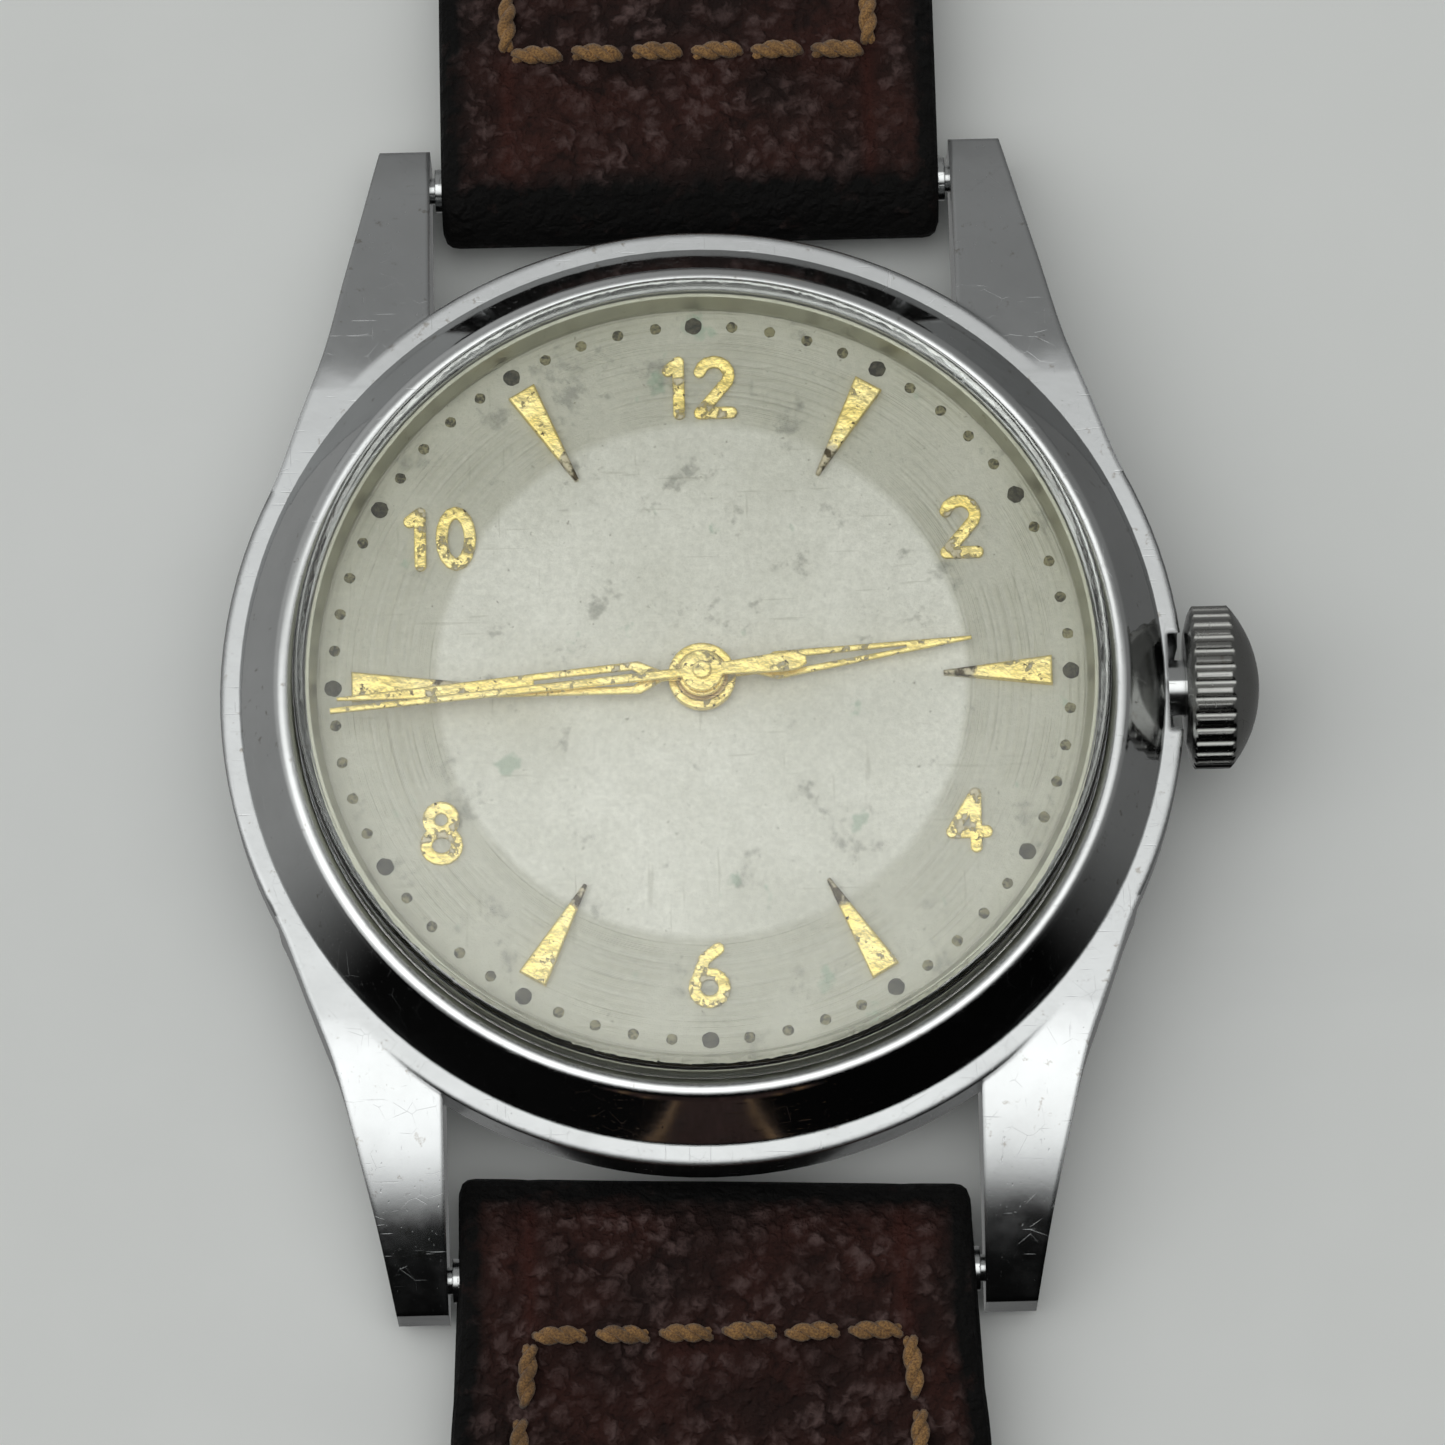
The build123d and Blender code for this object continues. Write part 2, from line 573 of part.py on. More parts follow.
def click():
    """A pawl on a post beside the ratchet wheel."""
    toward = degrees(atan2(BARREL_AT[1] - CLICK_AT[1], BARREL_AT[0] - CLICK_AT[0]))
    tip = polar(1.85, toward + 38, CLICK_AT)
    heel = polar(1.1, toward + 200, CLICK_AT)
    pawl = hull_plate([(*CLICK_AT, 0.55), (*tip, 0.08)], 2.98, 3.25)
    pawl += hull_plate([(*CLICK_AT, 0.5), (*heel, 0.25)], 2.98, 3.25)
    pawl -= disc(5.0, 2, 4, BARREL_AT)
    return pawl - disc(0.33, 2, 4, CLICK_AT)


def click_spring():
    """A bent wire spring that stands against the click's heel."""
    start = polar(1.75, 100, CLICK_AT)
    return hull_plate([(*start, 0.1), (start[0] + 3.2, start[1] + 0.9, 0.1)], 3.05, 3.25)


# ---- movement: train -------------------------------------------------------------
def wheel_and_pinion(teeth, module, z, at, phase, hub=0.6):
    """A toothed wheel with four arms."""
    z0, z1 = z
    wheel = gear(teeth, module, z0, z1, at, phase)
    return spokes(wheel, hub, module * teeth / 2 - 0.5, z0, z1, at)


def centre_wheel():
    """Wheel, pinion and hollow arbor: the seconds arbor passes through it."""
    wheel = wheel_and_pinion(CENTRE_TEETH, M_CENTRE, (4.2, 4.32), (0, 0), 0, 0.8)
    wheel += gear(CENTRE_PINION, M_BARREL, 5.0, 5.38, (0, 0), 0)
    wheel += disc(0.5, 4.15, 5.0) + disc(0.42, 5.38, 7.4)
    return wheel - disc(0.2, 4, 9)


def third_wheel():
    pinion_phase = mating_phase(0, CENTRE_TEETH, (0, 0), THIRD_PINION, THIRD_AT)
    wheel = wheel_and_pinion(THIRD_TEETH, M_THIRD, (3.8, 3.92), THIRD_AT, 0)
    wheel += gear(THIRD_PINION, M_CENTRE, 4.05, 4.47, THIRD_AT, pinion_phase)
    return wheel + arbor(3.06, 5.72, THIRD_AT, pivot=0.27)


def seconds_wheel():
    pinion_phase = mating_phase(0, THIRD_TEETH, THIRD_AT, SECONDS_PINION, (0, 0))
    wheel = wheel_and_pinion(SECONDS_TEETH, M_SECONDS, (3.45, 3.57), (0, 0), 0)
    wheel += gear(SECONDS_PINION, M_THIRD, 3.7, 4.02, (0, 0), pinion_phase)
    wheel += disc(0.15, 3.32, SECOND_HAND_Z - 0.2) + disc(PIVOT_R, 3.06, 3.4)
    return wheel + disc(0.12, 8, SECOND_HAND_Z + 0.05)


def escape_wheel():
    """Fifteen club teeth that lean forward."""
    pinion_phase = mating_phase(0, SECONDS_TEETH, (0, 0), ESCAPE_PINION, ESCAPE_AT)
    points = []
    step = 360 / ESCAPE_TEETH
    for i in range(ESCAPE_TEETH):
        for r, share in ((1.55, 0.0), (ESCAPE_R, 0.32), (ESCAPE_R - 0.08, 0.5), (1.62, 0.22)):
            points.append(polar(r, (i + share) * step))
    outline = Pos(*ESCAPE_AT, 4.85) * extrude(make_face(Polyline(*points, close=True)), 0.15)
    wheel = spokes(outline, 0.5, 1.3, 4.85, 5.0, ESCAPE_AT, width=0.25)
    wheel += gear(ESCAPE_PINION, M_SECONDS, 3.36, 3.68, ESCAPE_AT, pinion_phase)
    return wheel + arbor(3.06, 5.72, ESCAPE_AT, pivot=0.27)


def pallet_fork():
    """Two arms with stones that stand just clear of the escape wheel, and a forked lever."""
    z0, z1 = 4.85, 5.0
    lever = polar(3.45, PALLET_LINE, PALLET_AT)
    fork = hull_plate([(*PALLET_AT, 0.4), (*lever, 0.16)], z0, z1)
    for side in (-1, 1):
        stone = polar(ESCAPE_R + 0.42, PALLET_LINE + side * 33, ESCAPE_AT)
        fork += hull_plate([(*PALLET_AT, 0.3), (*stone, 0.16)], z0, z1)
        horn = polar(3.62, PALLET_LINE + side * 4.5, PALLET_AT)
        fork += hull_plate([(*lever, 0.12), (*horn, 0.07)], z0, z1)
    fork -= disc(ESCAPE_R + 0.22, 4, 6, ESCAPE_AT)
    return fork + arbor(4.07, 5.72, PALLET_AT, r=0.12, pivot=0.2)


def balance_wheel():
    """Rim, two arms, staff, roller and impulse pin."""
    z0, z1 = 4.35, 4.65
    wheel = tube(BALANCE_R, BALANCE_R - 0.5, z0, z1, BALANCE_AT)
    arm = Pos(*BALANCE_AT, (z0 + z1) / 2) * Box(2 * BALANCE_R - 0.5, 0.55, 0.2)
    wheel += arm + disc(0.5, z0, z1, BALANCE_AT)
    for i in range(14):
        screw = polar(BALANCE_R, (i + 0.5) * 360 / 14, BALANCE_AT)
        wheel += disc(0.14, z0, z1, screw)
    wheel += arbor(3.3, 5.72, BALANCE_AT, pivot=0.27)
    wheel += disc(0.85, 5.1, 5.22, BALANCE_AT)
    return wheel + disc(0.07, 4.8, 5.12, polar(ROLLER_PIN_R, 200, BALANCE_AT))


def hairspring():
    coil = spiral(0.4, 2.5, 9, 0.05, 3.95, 4.1, BALANCE_AT)
    return coil + tube(0.42, ARBOR_R + 0.01, 3.92, 4.13, BALANCE_AT)


def regulator():
    """The index: a ring round the balance jewel with a pointer."""
    z0, z1 = 2.72, 2.9
    pointer = polar(3.4, 15, BALANCE_AT)
    index = hull_plate([(*BALANCE_AT, 0.9), (*pointer, 0.12)], z0, z1)
    return index - disc(0.5, 2, 3, BALANCE_AT)


# ---- movement: motion work and setting -------------------------------------------
MOTION_GEAR_Z = (6.36, 6.54)


def cannon_pinion():
    pinion = gear(CANNON_TEETH, M_CANNON, *MOTION_GEAR_Z) + disc(0.66, MOTION_GEAR_Z[1], 6.7)
    pinion += disc(0.5, 6.7, MINUTE_HAND_Z + HAND_THICK)
    return pinion - disc(0.43, 6, 7.45) - disc(0.2, 7, 9)


def minute_wheel():
    phase = mating_phase(0, CANNON_TEETH, (0, 0), MINUTE_TEETH, MINUTE_AT)
    wheel = gear(MINUTE_TEETH, M_CANNON, *MOTION_GEAR_Z, MINUTE_AT, phase)
    wheel += gear(MINUTE_PINION, M_HOUR, MOTION_GEAR_Z[1], 6.84, MINUTE_AT, 0)
    return wheel - disc(0.38, 6, 8, MINUTE_AT)


def hour_wheel():
    phase = mating_phase(0, MINUTE_PINION, MINUTE_AT, HOUR_TEETH, (0, 0))
    wheel = gear(HOUR_TEETH, M_HOUR, 6.74, 6.86, (0, 0), phase)
    wheel += disc(0.85, 6.74, HOUR_HAND_Z + HAND_THICK)
    return wheel - disc(0.55, 6, 9)


def setting_wheel():
    minute_phase = mating_phase(0, CANNON_TEETH, (0, 0), MINUTE_TEETH, MINUTE_AT)
    phase = mating_phase(minute_phase, MINUTE_TEETH, MINUTE_AT, SETTING_TEETH, SETTING_AT)
    return gear(SETTING_TEETH, M_CANNON, *MOTION_GEAR_Z, SETTING_AT, phase) - disc(0.33, 6, 8, SETTING_AT)


def face_teeth(x0, x1, offset, r_out, r_in, count=8):
    """Teeth on an end face, spaced round the stem's axis."""
    ring = rod_x(r_out, x0, x1) - rod_x(r_in, x0 - 1, x1 + 1)
    width = 0.36 * 2 * pi * r_out / count
    teeth = Part()
    for i in range(count):
        bar = Pos((x0 + x1) / 2, 0, r_out) * Box(x1 - x0, width, r_out)
        teeth += Pos(0, 0, STEM_Z) * (Rot((i + offset) * 360 / count, 0, 0) * bar)
    return ring & teeth


def winding_pinion():
    """Turns freely on the stem until the clutch's face teeth take it round."""
    module = 2 * CONTRATE_R / CROWN_WHEEL_TEETH
    outline = gear_outline(WINDING_TEETH, module, 90)
    body = extrude(Plane(origin=(WINDING_X, 0, STEM_Z), x_dir=(0, 1, 0), z_dir=(1, 0, 0)) * outline, 0.5)
    body += face_teeth(WINDING_X - 0.25, WINDING_X + 0.02, 0, 0.92, 0.6)
    return body - rod_x(0.5, 8, 10)


def sliding_pinion():
    """The clutch: it slides on the stem's square and turns with it."""
    body = rod_x(0.95, 6.4, WINDING_X - 0.3)
    body -= rod_x(2, 7.05, 7.45) - rod_x(0.65, 7, 7.5)
    body += face_teeth(WINDING_X - 0.32, WINDING_X - 0.06, 0.5, 0.92, 0.6)
    return body - block(6, 9, -0.36, 0.36, STEM_Z - 0.36, STEM_Z + 0.36)


def setting_lever():
    lever = hull_plate([(10.4, -3.4, 0.8), (10.4, -1.3, 0.3)], 5.2, 5.4)
    lever += hull_plate([(10.4, -1.3, 0.25), (10.4, -0.47, 0.12)], 4.7, 5.4)
    return lever - disc(0.33, 4, 6, (10.4, -3.4))


def yoke():
    lever = hull_plate([(7.0, -3.6, 0.8), (7.25, -1.5, 0.3)], 5.2, 5.4)
    lever += hull_plate([(7.25, -1.5, 0.2), (7.25, -0.83, 0.12)], 4.7, 5.4)
    return lever - disc(0.33, 4, 6, (7.0, -3.6))


# ---- strap -----------------------------------------------------------------------
def spring_bar(y, z, half, r, pin_r, reach):
    """A tube with a sprung pin standing out of each end."""
    return rod_x(r, -half, half, y, z) + rod_x(pin_r, -reach, reach, y, z)


def strap_12():
    """The short piece: it folds round the spring bar at one end and the buckle's bar at the other."""
    half, end = STRAP_W / 2, STRAP_END_W / 2
    plan = plate_of([(-half, 15), (half, 15), (half, 24), (end, 96), (-end, 96), (-half, 24)], -1, 8)
    top = [(BAR_Y, BAR_Z + FOLD_R), (24, 3.85), (30, 3.3), (60, 3.1), (84, 3.25),
           (BUCKLE_Y, BUCKLE_Z + BUCKLE_LOOP_R)]
    under = [(BUCKLE_Y, BUCKLE_Z - BUCKLE_LOOP_R), (50, 1.0), (40, STRAP_FLOOR), (BAR_Y, BAR_Z - FOLD_R)]
    side = extrude(Plane.YZ * make_face(Polyline(*top, *under, close=True)), 10, both=True)
    side += rod_x(FOLD_R, -10, 10, BAR_Y, BAR_Z) + rod_x(BUCKLE_LOOP_R, -10, 10, BUCKLE_Y, BUCKLE_Z)
    body = plan & side
    body -= rod_x(BAR_R + 0.03, -10, 10, BAR_Y, BAR_Z) + rod_x(0.75, -10, 10, BUCKLE_Y, BUCKLE_Z)
    return body - block(-TONGUE_SLOT_HALF_W, TONGUE_SLOT_HALF_W, 91.3, 97, -1, 6)


def strap_6():
    """The long piece: a pointed tail with a row of holes."""
    half, end = STRAP_W / 2, STRAP_END_W / 2 - 0.3
    outline = [(half, -15), (half, -24), (end, -90), (end, -126), (end - 2.4, -130.5),
               (2.2, TAIL_TIP_Y + 0.4), (0, TAIL_TIP_Y), (-2.2, TAIL_TIP_Y + 0.4),
               (2.4 - end, -130.5), (-end, -126), (-end, -90), (-half, -24), (-half, -15)]
    plan = plate_of(outline, -1, 8)
    top = [(-BAR_Y, BAR_Z + FOLD_R), (-24, 3.7), (-30, 3.0), (-60, 2.5), (-140, 2.3)]
    under = [(-140, STRAP_FLOOR), (-BAR_Y, BAR_Z - FOLD_R)]
    side = extrude(Plane.YZ * make_face(Polyline(*top, *under, close=True)), 10, both=True)
    body = plan & (side + rod_x(FOLD_R, -10, 10, -BAR_Y, BAR_Z))
    body -= rod_x(BAR_R + 0.03, -10, 10, -BAR_Y, BAR_Z)
    for i in range(STRAP_HOLES):
        hole = extrude(Ellipse(0.8, 1.1), 8)
        body -= Pos(0, FIRST_HOLE_Y - i * STRAP_HOLE_PITCH, -2) * hole
    return body


def keeper(y):
    """A leather loop round the strap, with room for the tail above it."""
    half = STRAP_END_W / 2 + 0.35
    outer = block(-half - KEEPER_WALL, half + KEEPER_WALL, y - KEEPER_W / 2, y + KEEPER_W / 2, 0, 6.9)
    inner = block(-half, half, y - KEEPER_W, y + KEEPER_W, KEEPER_WALL * 0.9, 6.9 - KEEPER_WALL)
    outer = fillet(outer.edges().filter_by(Axis.Y), 1.0)
    return outer - fillet(inner.edges().filter_by(Axis.Y), 0.35)


def buckle_frame():
    """Two arms from the hinge bar to a rounded front bar."""
    inner, outer = 8.35, 10.0
    y0, y1 = BUCKLE_Y - 1.6, BUCKLE_Y + 9.5
    frame = block(-outer, outer, y0, y1, 0.9, 3.5)
    frame = fillet(frame.edges().filter_by(Axis.Z).sort_by(Axis.Y)[-2:], 2.2)
    frame = fillet(frame.faces().sort_by(Axis.Z)[-1].edges(), 0.7)
    opening = block(-inner, inner, y0 - 1, y1 - 2.2, 0, 6)
    frame -= fillet(opening.edges().filter_by(Axis.Z).sort_by(Axis.Y)[-2:], 1.2)
    frame -= rod_x(0.46, -9.3, 9.3, BUCKLE_Y, BUCKLE_Z)
    return frame - rod_x(0.5, -1.1, 1.1, y1 - 1.1, 4.6)


def buckle_tongue():
    """A curl round the hinge bar and a bar that lies on the front of the frame."""
    curl = rod_x(1.2, -1.1, 1.1, BUCKLE_Y, BUCKLE_Z)
    side = [(BUCKLE_Y, 3.5), (BUCKLE_Y + 6.5, 3.95), (BUCKLE_Y + 9.3, 4.3), (BUCKLE_Y + 9.6, 3.9),
            (BUCKLE_Y + 6.5, 3.05), (BUCKLE_Y, 2.2)]
    bar = extrude(Plane.YZ * make_face(Polyline(*side, close=True)), 0.75, both=True)
    bar -= block(-3, 3, BUCKLE_Y + 6.9, BUCKLE_Y + 12, 0, 3.62)
    return curl + bar - rod_x(0.64, -2, 2, BUCKLE_Y, BUCKLE_Z)


NODES = {
    "mid_case": mid_case, "bezel": bezel, "crystal": crystal, "tension_ring": tension_ring,
    "case_back": case_back,
    "case_back_gasket": lambda: tube(BACK_THREAD_R - 0.1, 13.35, 2.32, BACK_LEDGE_Z - 0.02),
    "crown_tube": lambda: rod_x(0.95, 13.35, 16.9) - rod_x(0.63, 13, 17),
    "movement_ring": lambda: tube(13.26, 12.94, 4.8, 6.4) - rod_x(1.3, 12, 14),
    "dial": dial, "hour_markers": hour_markers, "hour_numerals": hour_numerals,
    "hour_hand": hour_hand, "minute_hand": minute_hand, "second_hand": second_hand,
    "main_plate": main_plate, "barrel_bridge": barrel_bridge, "train_bridge": train_bridge,
    "pallet_cock": pallet_cock, "balance_cock": balance_cock, "bridge_screws": bridge_screws,
    "jewels": jewels, "barrel": barrel, "barrel_cover": barrel_cover, "barrel_arbor": barrel_arbor,
    "mainspring": mainspring, "ratchet_wheel": ratchet_wheel, "ratchet_screw": ratchet_screw,
    "crown_wheel": crown_wheel, "crown_wheel_screw": crown_wheel_screw, "click": click,
    "click_spring": click_spring, "centre_wheel": centre_wheel, "third_wheel": third_wheel,
    "seconds_wheel": seconds_wheel, "escape_wheel": escape_wheel, "pallet_fork": pallet_fork,
    "balance_wheel": balance_wheel, "hairspring": hairspring, "regulator": regulator,
    "cannon_pinion": cannon_pinion, "minute_wheel": minute_wheel, "hour_wheel": hour_wheel,
    "setting_wheel": setting_wheel, "crown": crown, "stem": stem, "winding_pinion": winding_pinion,
    "sliding_pinion": sliding_pinion, "setting_lever": setting_lever, "yoke": yoke,
    "spring_bar_12": lambda: spring_bar(BAR_Y, BAR_Z, 8.85, BAR_R, BAR_PIN_R, 9.85),
    "spring_bar_6": lambda: spring_bar(-BAR_Y, BAR_Z, 8.85, BAR_R, BAR_PIN_R, 9.85),
    "buckle_bar": lambda: spring_bar(BUCKLE_Y, BUCKLE_Z, 8.2, 0.6, 0.42, 9.2),
    "strap_12": strap_12, "strap_6": strap_6,
    "fixed_keeper": lambda: keeper(KEEPER_Y[0]), "free_keeper": lambda: keeper(KEEPER_Y[1]),
    "buckle_frame": buckle_frame, "buckle_tongue": buckle_tongue,
}

os.makedirs("parts", exist_ok=True)
for name, make in NODES.items():
    shape = make()
    if isinstance(shape, list):
        shape = Compound(children=[solid for piece in shape for solid in piece.solids()])
    export_step(shape, f"parts/{name}.step")
    print(name, round(shape.volume, 3))
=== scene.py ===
"""Looks of the wristwatch: leather, thread, dial, gilt work, glass, light and camera."""

import math
import random

import bmesh
import bpy
from mathutils import Matrix, Vector


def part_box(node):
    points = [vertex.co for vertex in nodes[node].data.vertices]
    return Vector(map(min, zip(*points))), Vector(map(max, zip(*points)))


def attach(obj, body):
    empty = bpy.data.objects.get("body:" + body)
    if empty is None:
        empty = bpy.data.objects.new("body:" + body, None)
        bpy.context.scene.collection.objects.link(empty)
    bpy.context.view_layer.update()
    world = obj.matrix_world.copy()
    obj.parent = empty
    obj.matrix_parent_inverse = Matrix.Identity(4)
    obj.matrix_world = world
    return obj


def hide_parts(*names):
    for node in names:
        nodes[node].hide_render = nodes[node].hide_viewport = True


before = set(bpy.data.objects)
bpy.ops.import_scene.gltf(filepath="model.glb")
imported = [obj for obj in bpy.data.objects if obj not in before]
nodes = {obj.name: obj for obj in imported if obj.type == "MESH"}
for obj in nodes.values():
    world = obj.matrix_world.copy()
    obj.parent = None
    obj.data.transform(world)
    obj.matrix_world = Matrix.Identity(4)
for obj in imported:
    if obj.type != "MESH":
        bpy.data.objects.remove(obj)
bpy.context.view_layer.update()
MM = 0.001
rng = random.Random(7)

# ---- places taken from the frame ---------------------------------------------------
dial_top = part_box("hour_numerals")[0].z
bar_12 = (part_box("spring_bar_12")[0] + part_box("spring_bar_12")[1]) / 2
bar_6 = (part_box("spring_bar_6")[0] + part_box("spring_bar_6")[1]) / 2
lower_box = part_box("strap_6")
buckle_bar = (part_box("buckle_bar")[0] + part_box("buckle_bar")[1]) / 2


# ---- node trees --------------------------------------------------------------------
class Tree:
    """Short calls for building a material's nodes."""

    def __init__(self, name):
        self.owner = bpy.data.materials.new(name)
        self.owner.use_nodes = True
        self.tree = self.owner.node_tree
        self.tree.nodes.clear()
        self.out = self.tree.nodes.new("ShaderNodeOutputMaterial")

    def add(self, kind, inputs=None, **settings):
        made = self.tree.nodes.new(kind)
        for key, value in settings.items():
            setattr(made, key, value)
        for key, value in (inputs or {}).items():
            self.put(made.inputs[key], value)
        return made

    def put(self, socket, value):
        if isinstance(value, bpy.types.Node):
            value = value.outputs[0]
        if isinstance(value, bpy.types.NodeSocket):
            self.tree.links.new(value, socket)
        else:
            socket.default_value = value

    def place(self, scale=(1, 1, 1), rotation=(0, 0, 0)):
        """Object coordinates in millimetres, stretched."""
        coords = self.add("ShaderNodeTexCoord")
        size = [1000 * s for s in scale]
        inputs = {0: coords.outputs["Object"], "Scale": size, "Rotation": rotation}
        return self.add("ShaderNodeMapping", inputs)

    def noise(self, where, scale, detail=4.0, rough=0.55, distortion=0.0):
        inputs = {"Vector": where, "Scale": scale, "Detail": detail}
        inputs.update({"Roughness": rough, "Distortion": distortion})
        return self.add("ShaderNodeTexNoise", inputs).outputs[0]

    def cells(self, where, scale, feature="F1", output=0, randomness=1.0):
        inputs = {"Vector": where, "Scale": scale, "Randomness": randomness}
        return self.add("ShaderNodeTexVoronoi", inputs, feature=feature).outputs[output]

    def remap(self, value, low, high, to_low=0.0, to_high=1.0):
        inputs = {0: value, 1: low, 2: high, 3: to_low, 4: to_high}
        return self.add("ShaderNodeMapRange", inputs, clamp=True).outputs[0]

    def math(self, operation, a, b=0.0):
        return self.add("ShaderNodeMath", {0: a, 1: b}, operation=operation).outputs[0]

    def mix(self, factor, a, b):
        """A colour between a and b."""
        made = self.add("ShaderNodeMix", data_type="RGBA")
        self.put(made.inputs[0], factor)
        self.put(made.inputs[6], a if isinstance(a, bpy.types.NodeSocket) else (*a, 1))
        self.put(made.inputs[7], b if isinstance(b, bpy.types.NodeSocket) else (*b, 1))
        return made.outputs[2]

    def bump(self, height, strength, distance, normal=None):
        inputs = {"Height": height, "Strength": strength, "Distance": distance * MM}
        if normal is not None:
            inputs["Normal"] = normal
        return self.add("ShaderNodeBump", inputs).outputs[0]

    def attribute(self, name):
        return self.add("ShaderNodeAttribute", attribute_name=name).outputs["Fac"]

    def finish(self, **sockets):
        shader = self.add("ShaderNodeBsdfPrincipled")
        for key, value in sockets.items():
            if isinstance(value, tuple) and len(value) == 3:
                value = (*value, 1)
            self.put(shader.inputs[key.replace("_", " ")], value)
        self.tree.links.new(shader.outputs[0], self.out.inputs[0])
        return self.owner


def scratches(t, scale, stretch, low, high):
    """Fine lines in two directions, as 0 to 1."""
    first = t.noise(t.place((stretch, 1, 1), (0, 0, 0.5)), scale, 2.0)
    second = t.noise(t.place((1, stretch, 1), (0, 0, -0.35)), scale, 2.0)
    return t.math("MAXIMUM", t.remap(first, low, high), t.remap(second, low, high))


# ---- metals ------------------------------------------------------------------------
def steel(name, base=(0.62, 0.63, 0.63), dark=(0.40, 0.40, 0.39), rough=0.16, wear=0.06,
          line=0.03, edge=0.06):
    """Worn polished steel; edge is how far its corners have rounded, in millimetres."""
    t = Tree(name)
    here = t.place()
    patches = t.remap(t.noise(here, 0.3, 6.0), 0.35, 0.7)
    smears = t.remap(t.noise(here, 0.9, 6.0), 0.40, 0.66)
    lines = scratches(t, 9.0, 0.05, 0.69, 0.74)
    swirl = t.remap(t.cells(here, 1.3, feature="DISTANCE_TO_EDGE"), 0.0, 0.006, 1.0, 0.0)
    swirl = t.math("MULTIPLY", swirl, t.remap(t.noise(here, 0.8, 3.0), 0.52, 0.6))
    pits = t.remap(t.cells(here, 2.3), 0.0, 0.06, 1.0, 0.0)
    grime = t.math("MULTIPLY", t.remap(t.noise(here, 1.9, 8.0, 0.65), 0.62, 0.70), 0.5)
    colour = t.mix(t.math("MULTIPLY", patches, 0.25), base, dark)
    colour = t.mix(t.math("MULTIPLY", pits, 0.5), colour, (0.12, 0.11, 0.09))
    colour = t.mix(grime, colour, (0.20, 0.16, 0.11))
    marks = t.math("MAXIMUM", lines, swirl)
    roughness = t.math("ADD", t.remap(smears, 0, 1, rough, rough + wear), t.math("MULTIPLY", marks, 0.10))
    height = t.math("ADD", t.math("MULTIPLY", marks, -0.6), t.math("MULTIPLY", pits, -0.8))
    grain = t.math("MULTIPLY", t.noise(here, 3.0, 5.0), 0.3)
    soft = t.add("ShaderNodeBevel", {"Radius": edge * MM}, samples=4).outputs[0]
    normal = t.bump(t.math("ADD", height, grain), 0.35, line, soft)
    return t.finish(Base_Color=colour, Metallic=1.0, Roughness=roughness, Normal=normal)


def gilt(name, base=(0.98, 0.78, 0.27), worn=(0.60, 0.54, 0.40), dirt=(0.08, 0.06, 0.03),
         rough=0.24, loss=0.57, bare_below=0.0, edge=0.11):
    """Worn gilding. bare_below is the distance from the dial's centre inside which the gold is gone."""
    t = Tree(name)
    here = t.place()
    blotches = t.remap(t.noise(here, 1.6, 8.0, 0.65), loss, loss + 0.06)
    spots = t.remap(t.noise(here, 3.4, 6.0, 0.7), 0.60, 0.65)
    if bare_below:
        ragged = t.math("ADD", radius_mm(t), t.math("MULTIPLY", t.noise(here, 1.5, 4.0), 1.8))
        bare = t.remap(ragged, bare_below + 1.05, bare_below + 0.85)
        blotches = t.math("MAXIMUM", blotches, bare)
        soiled = t.math("MULTIPLY", bare, t.remap(t.noise(here, 2.6, 5.0), 0.45, 0.55))
        spots = t.math("MAXIMUM", spots, soiled)
    colour = t.mix(t.remap(t.noise(here, 0.8, 3.0), 0.35, 0.65), base, (1.0, 0.84, 0.40))
    colour = t.mix(blotches, colour, worn)
    colour = t.mix(spots, colour, dirt)
    roughness = t.remap(t.math("ADD", blotches, spots), 0, 1, rough, rough + 0.3)
    height = t.math("SUBTRACT", t.noise(here, 2.2, 6.0), t.math("MULTIPLY", blotches, 0.5))
    soft = t.add("ShaderNodeBevel", {"Radius": edge * MM}, samples=6).outputs[0]
    normal = t.bump(height, 0.7, 0.09, soft)
    return t.finish(Base_Color=colour, Metallic=0.85, Roughness=roughness, Normal=normal)


def brass(name, base=(0.68, 0.52, 0.28)):
    t = Tree(name)
    here = t.place()
    lines = t.noise(t.place((0.1, 3, 1)), 5.0, 3.0)
    tarnish = t.remap(t.noise(here, 0.8, 6.0), 0.45, 0.7)
    colour = t.mix(t.math("MULTIPLY", tarnish, 0.5), base, (0.36, 0.24, 0.11))
    roughness = t.remap(lines, 0.3, 0.7, 0.22, 0.42)
    return t.finish(Base_Color=colour, Metallic=1.0, Roughness=roughness, Normal=t.bump(lines, 0.4, 0.03))


def blued(name):
    t = Tree(name)
    here = t.place()
    shift = t.noise(here, 0.7, 3.0)
    colour = t.mix(shift, (0.03, 0.05, 0.22), (0.12, 0.10, 0.28))
    rough = t.remap(t.noise(here, 6.0), 0.3, 0.7, 0.18, 0.35)
    normal = t.bump(t.noise(here, 9.0), 0.2, 0.02)
    return t.finish(Base_Color=colour, Metallic=1.0, Roughness=rough, Normal=normal)


def ruby(name):
    t = Tree(name)
    here = t.place()
    colour = t.mix(t.noise(here, 2.0), (0.55, 0.01, 0.06), (0.30, 0.0, 0.03))
    rough = t.remap(t.noise(here, 5.0), 0.3, 0.7, 0.04, 0.12)
    return t.finish(Base_Color=colour, Roughness=rough, Transmission_Weight=0.5, IOR=1.76,
                    Normal=t.bump(t.noise(here, 4.0), 0.1, 0.01))


def rubber(name):
    t = Tree(name)
    here = t.place()
    colour = t.mix(t.noise(here, 3.0), (0.012, 0.012, 0.012), (0.035, 0.033, 0.03))
    return t.finish(Base_Color=colour, Roughness=t.remap(t.noise(here, 8.0), 0.3, 0.7, 0.55, 0.8),
                    Normal=t.bump(t.noise(here, 10.0), 0.4, 0.03))


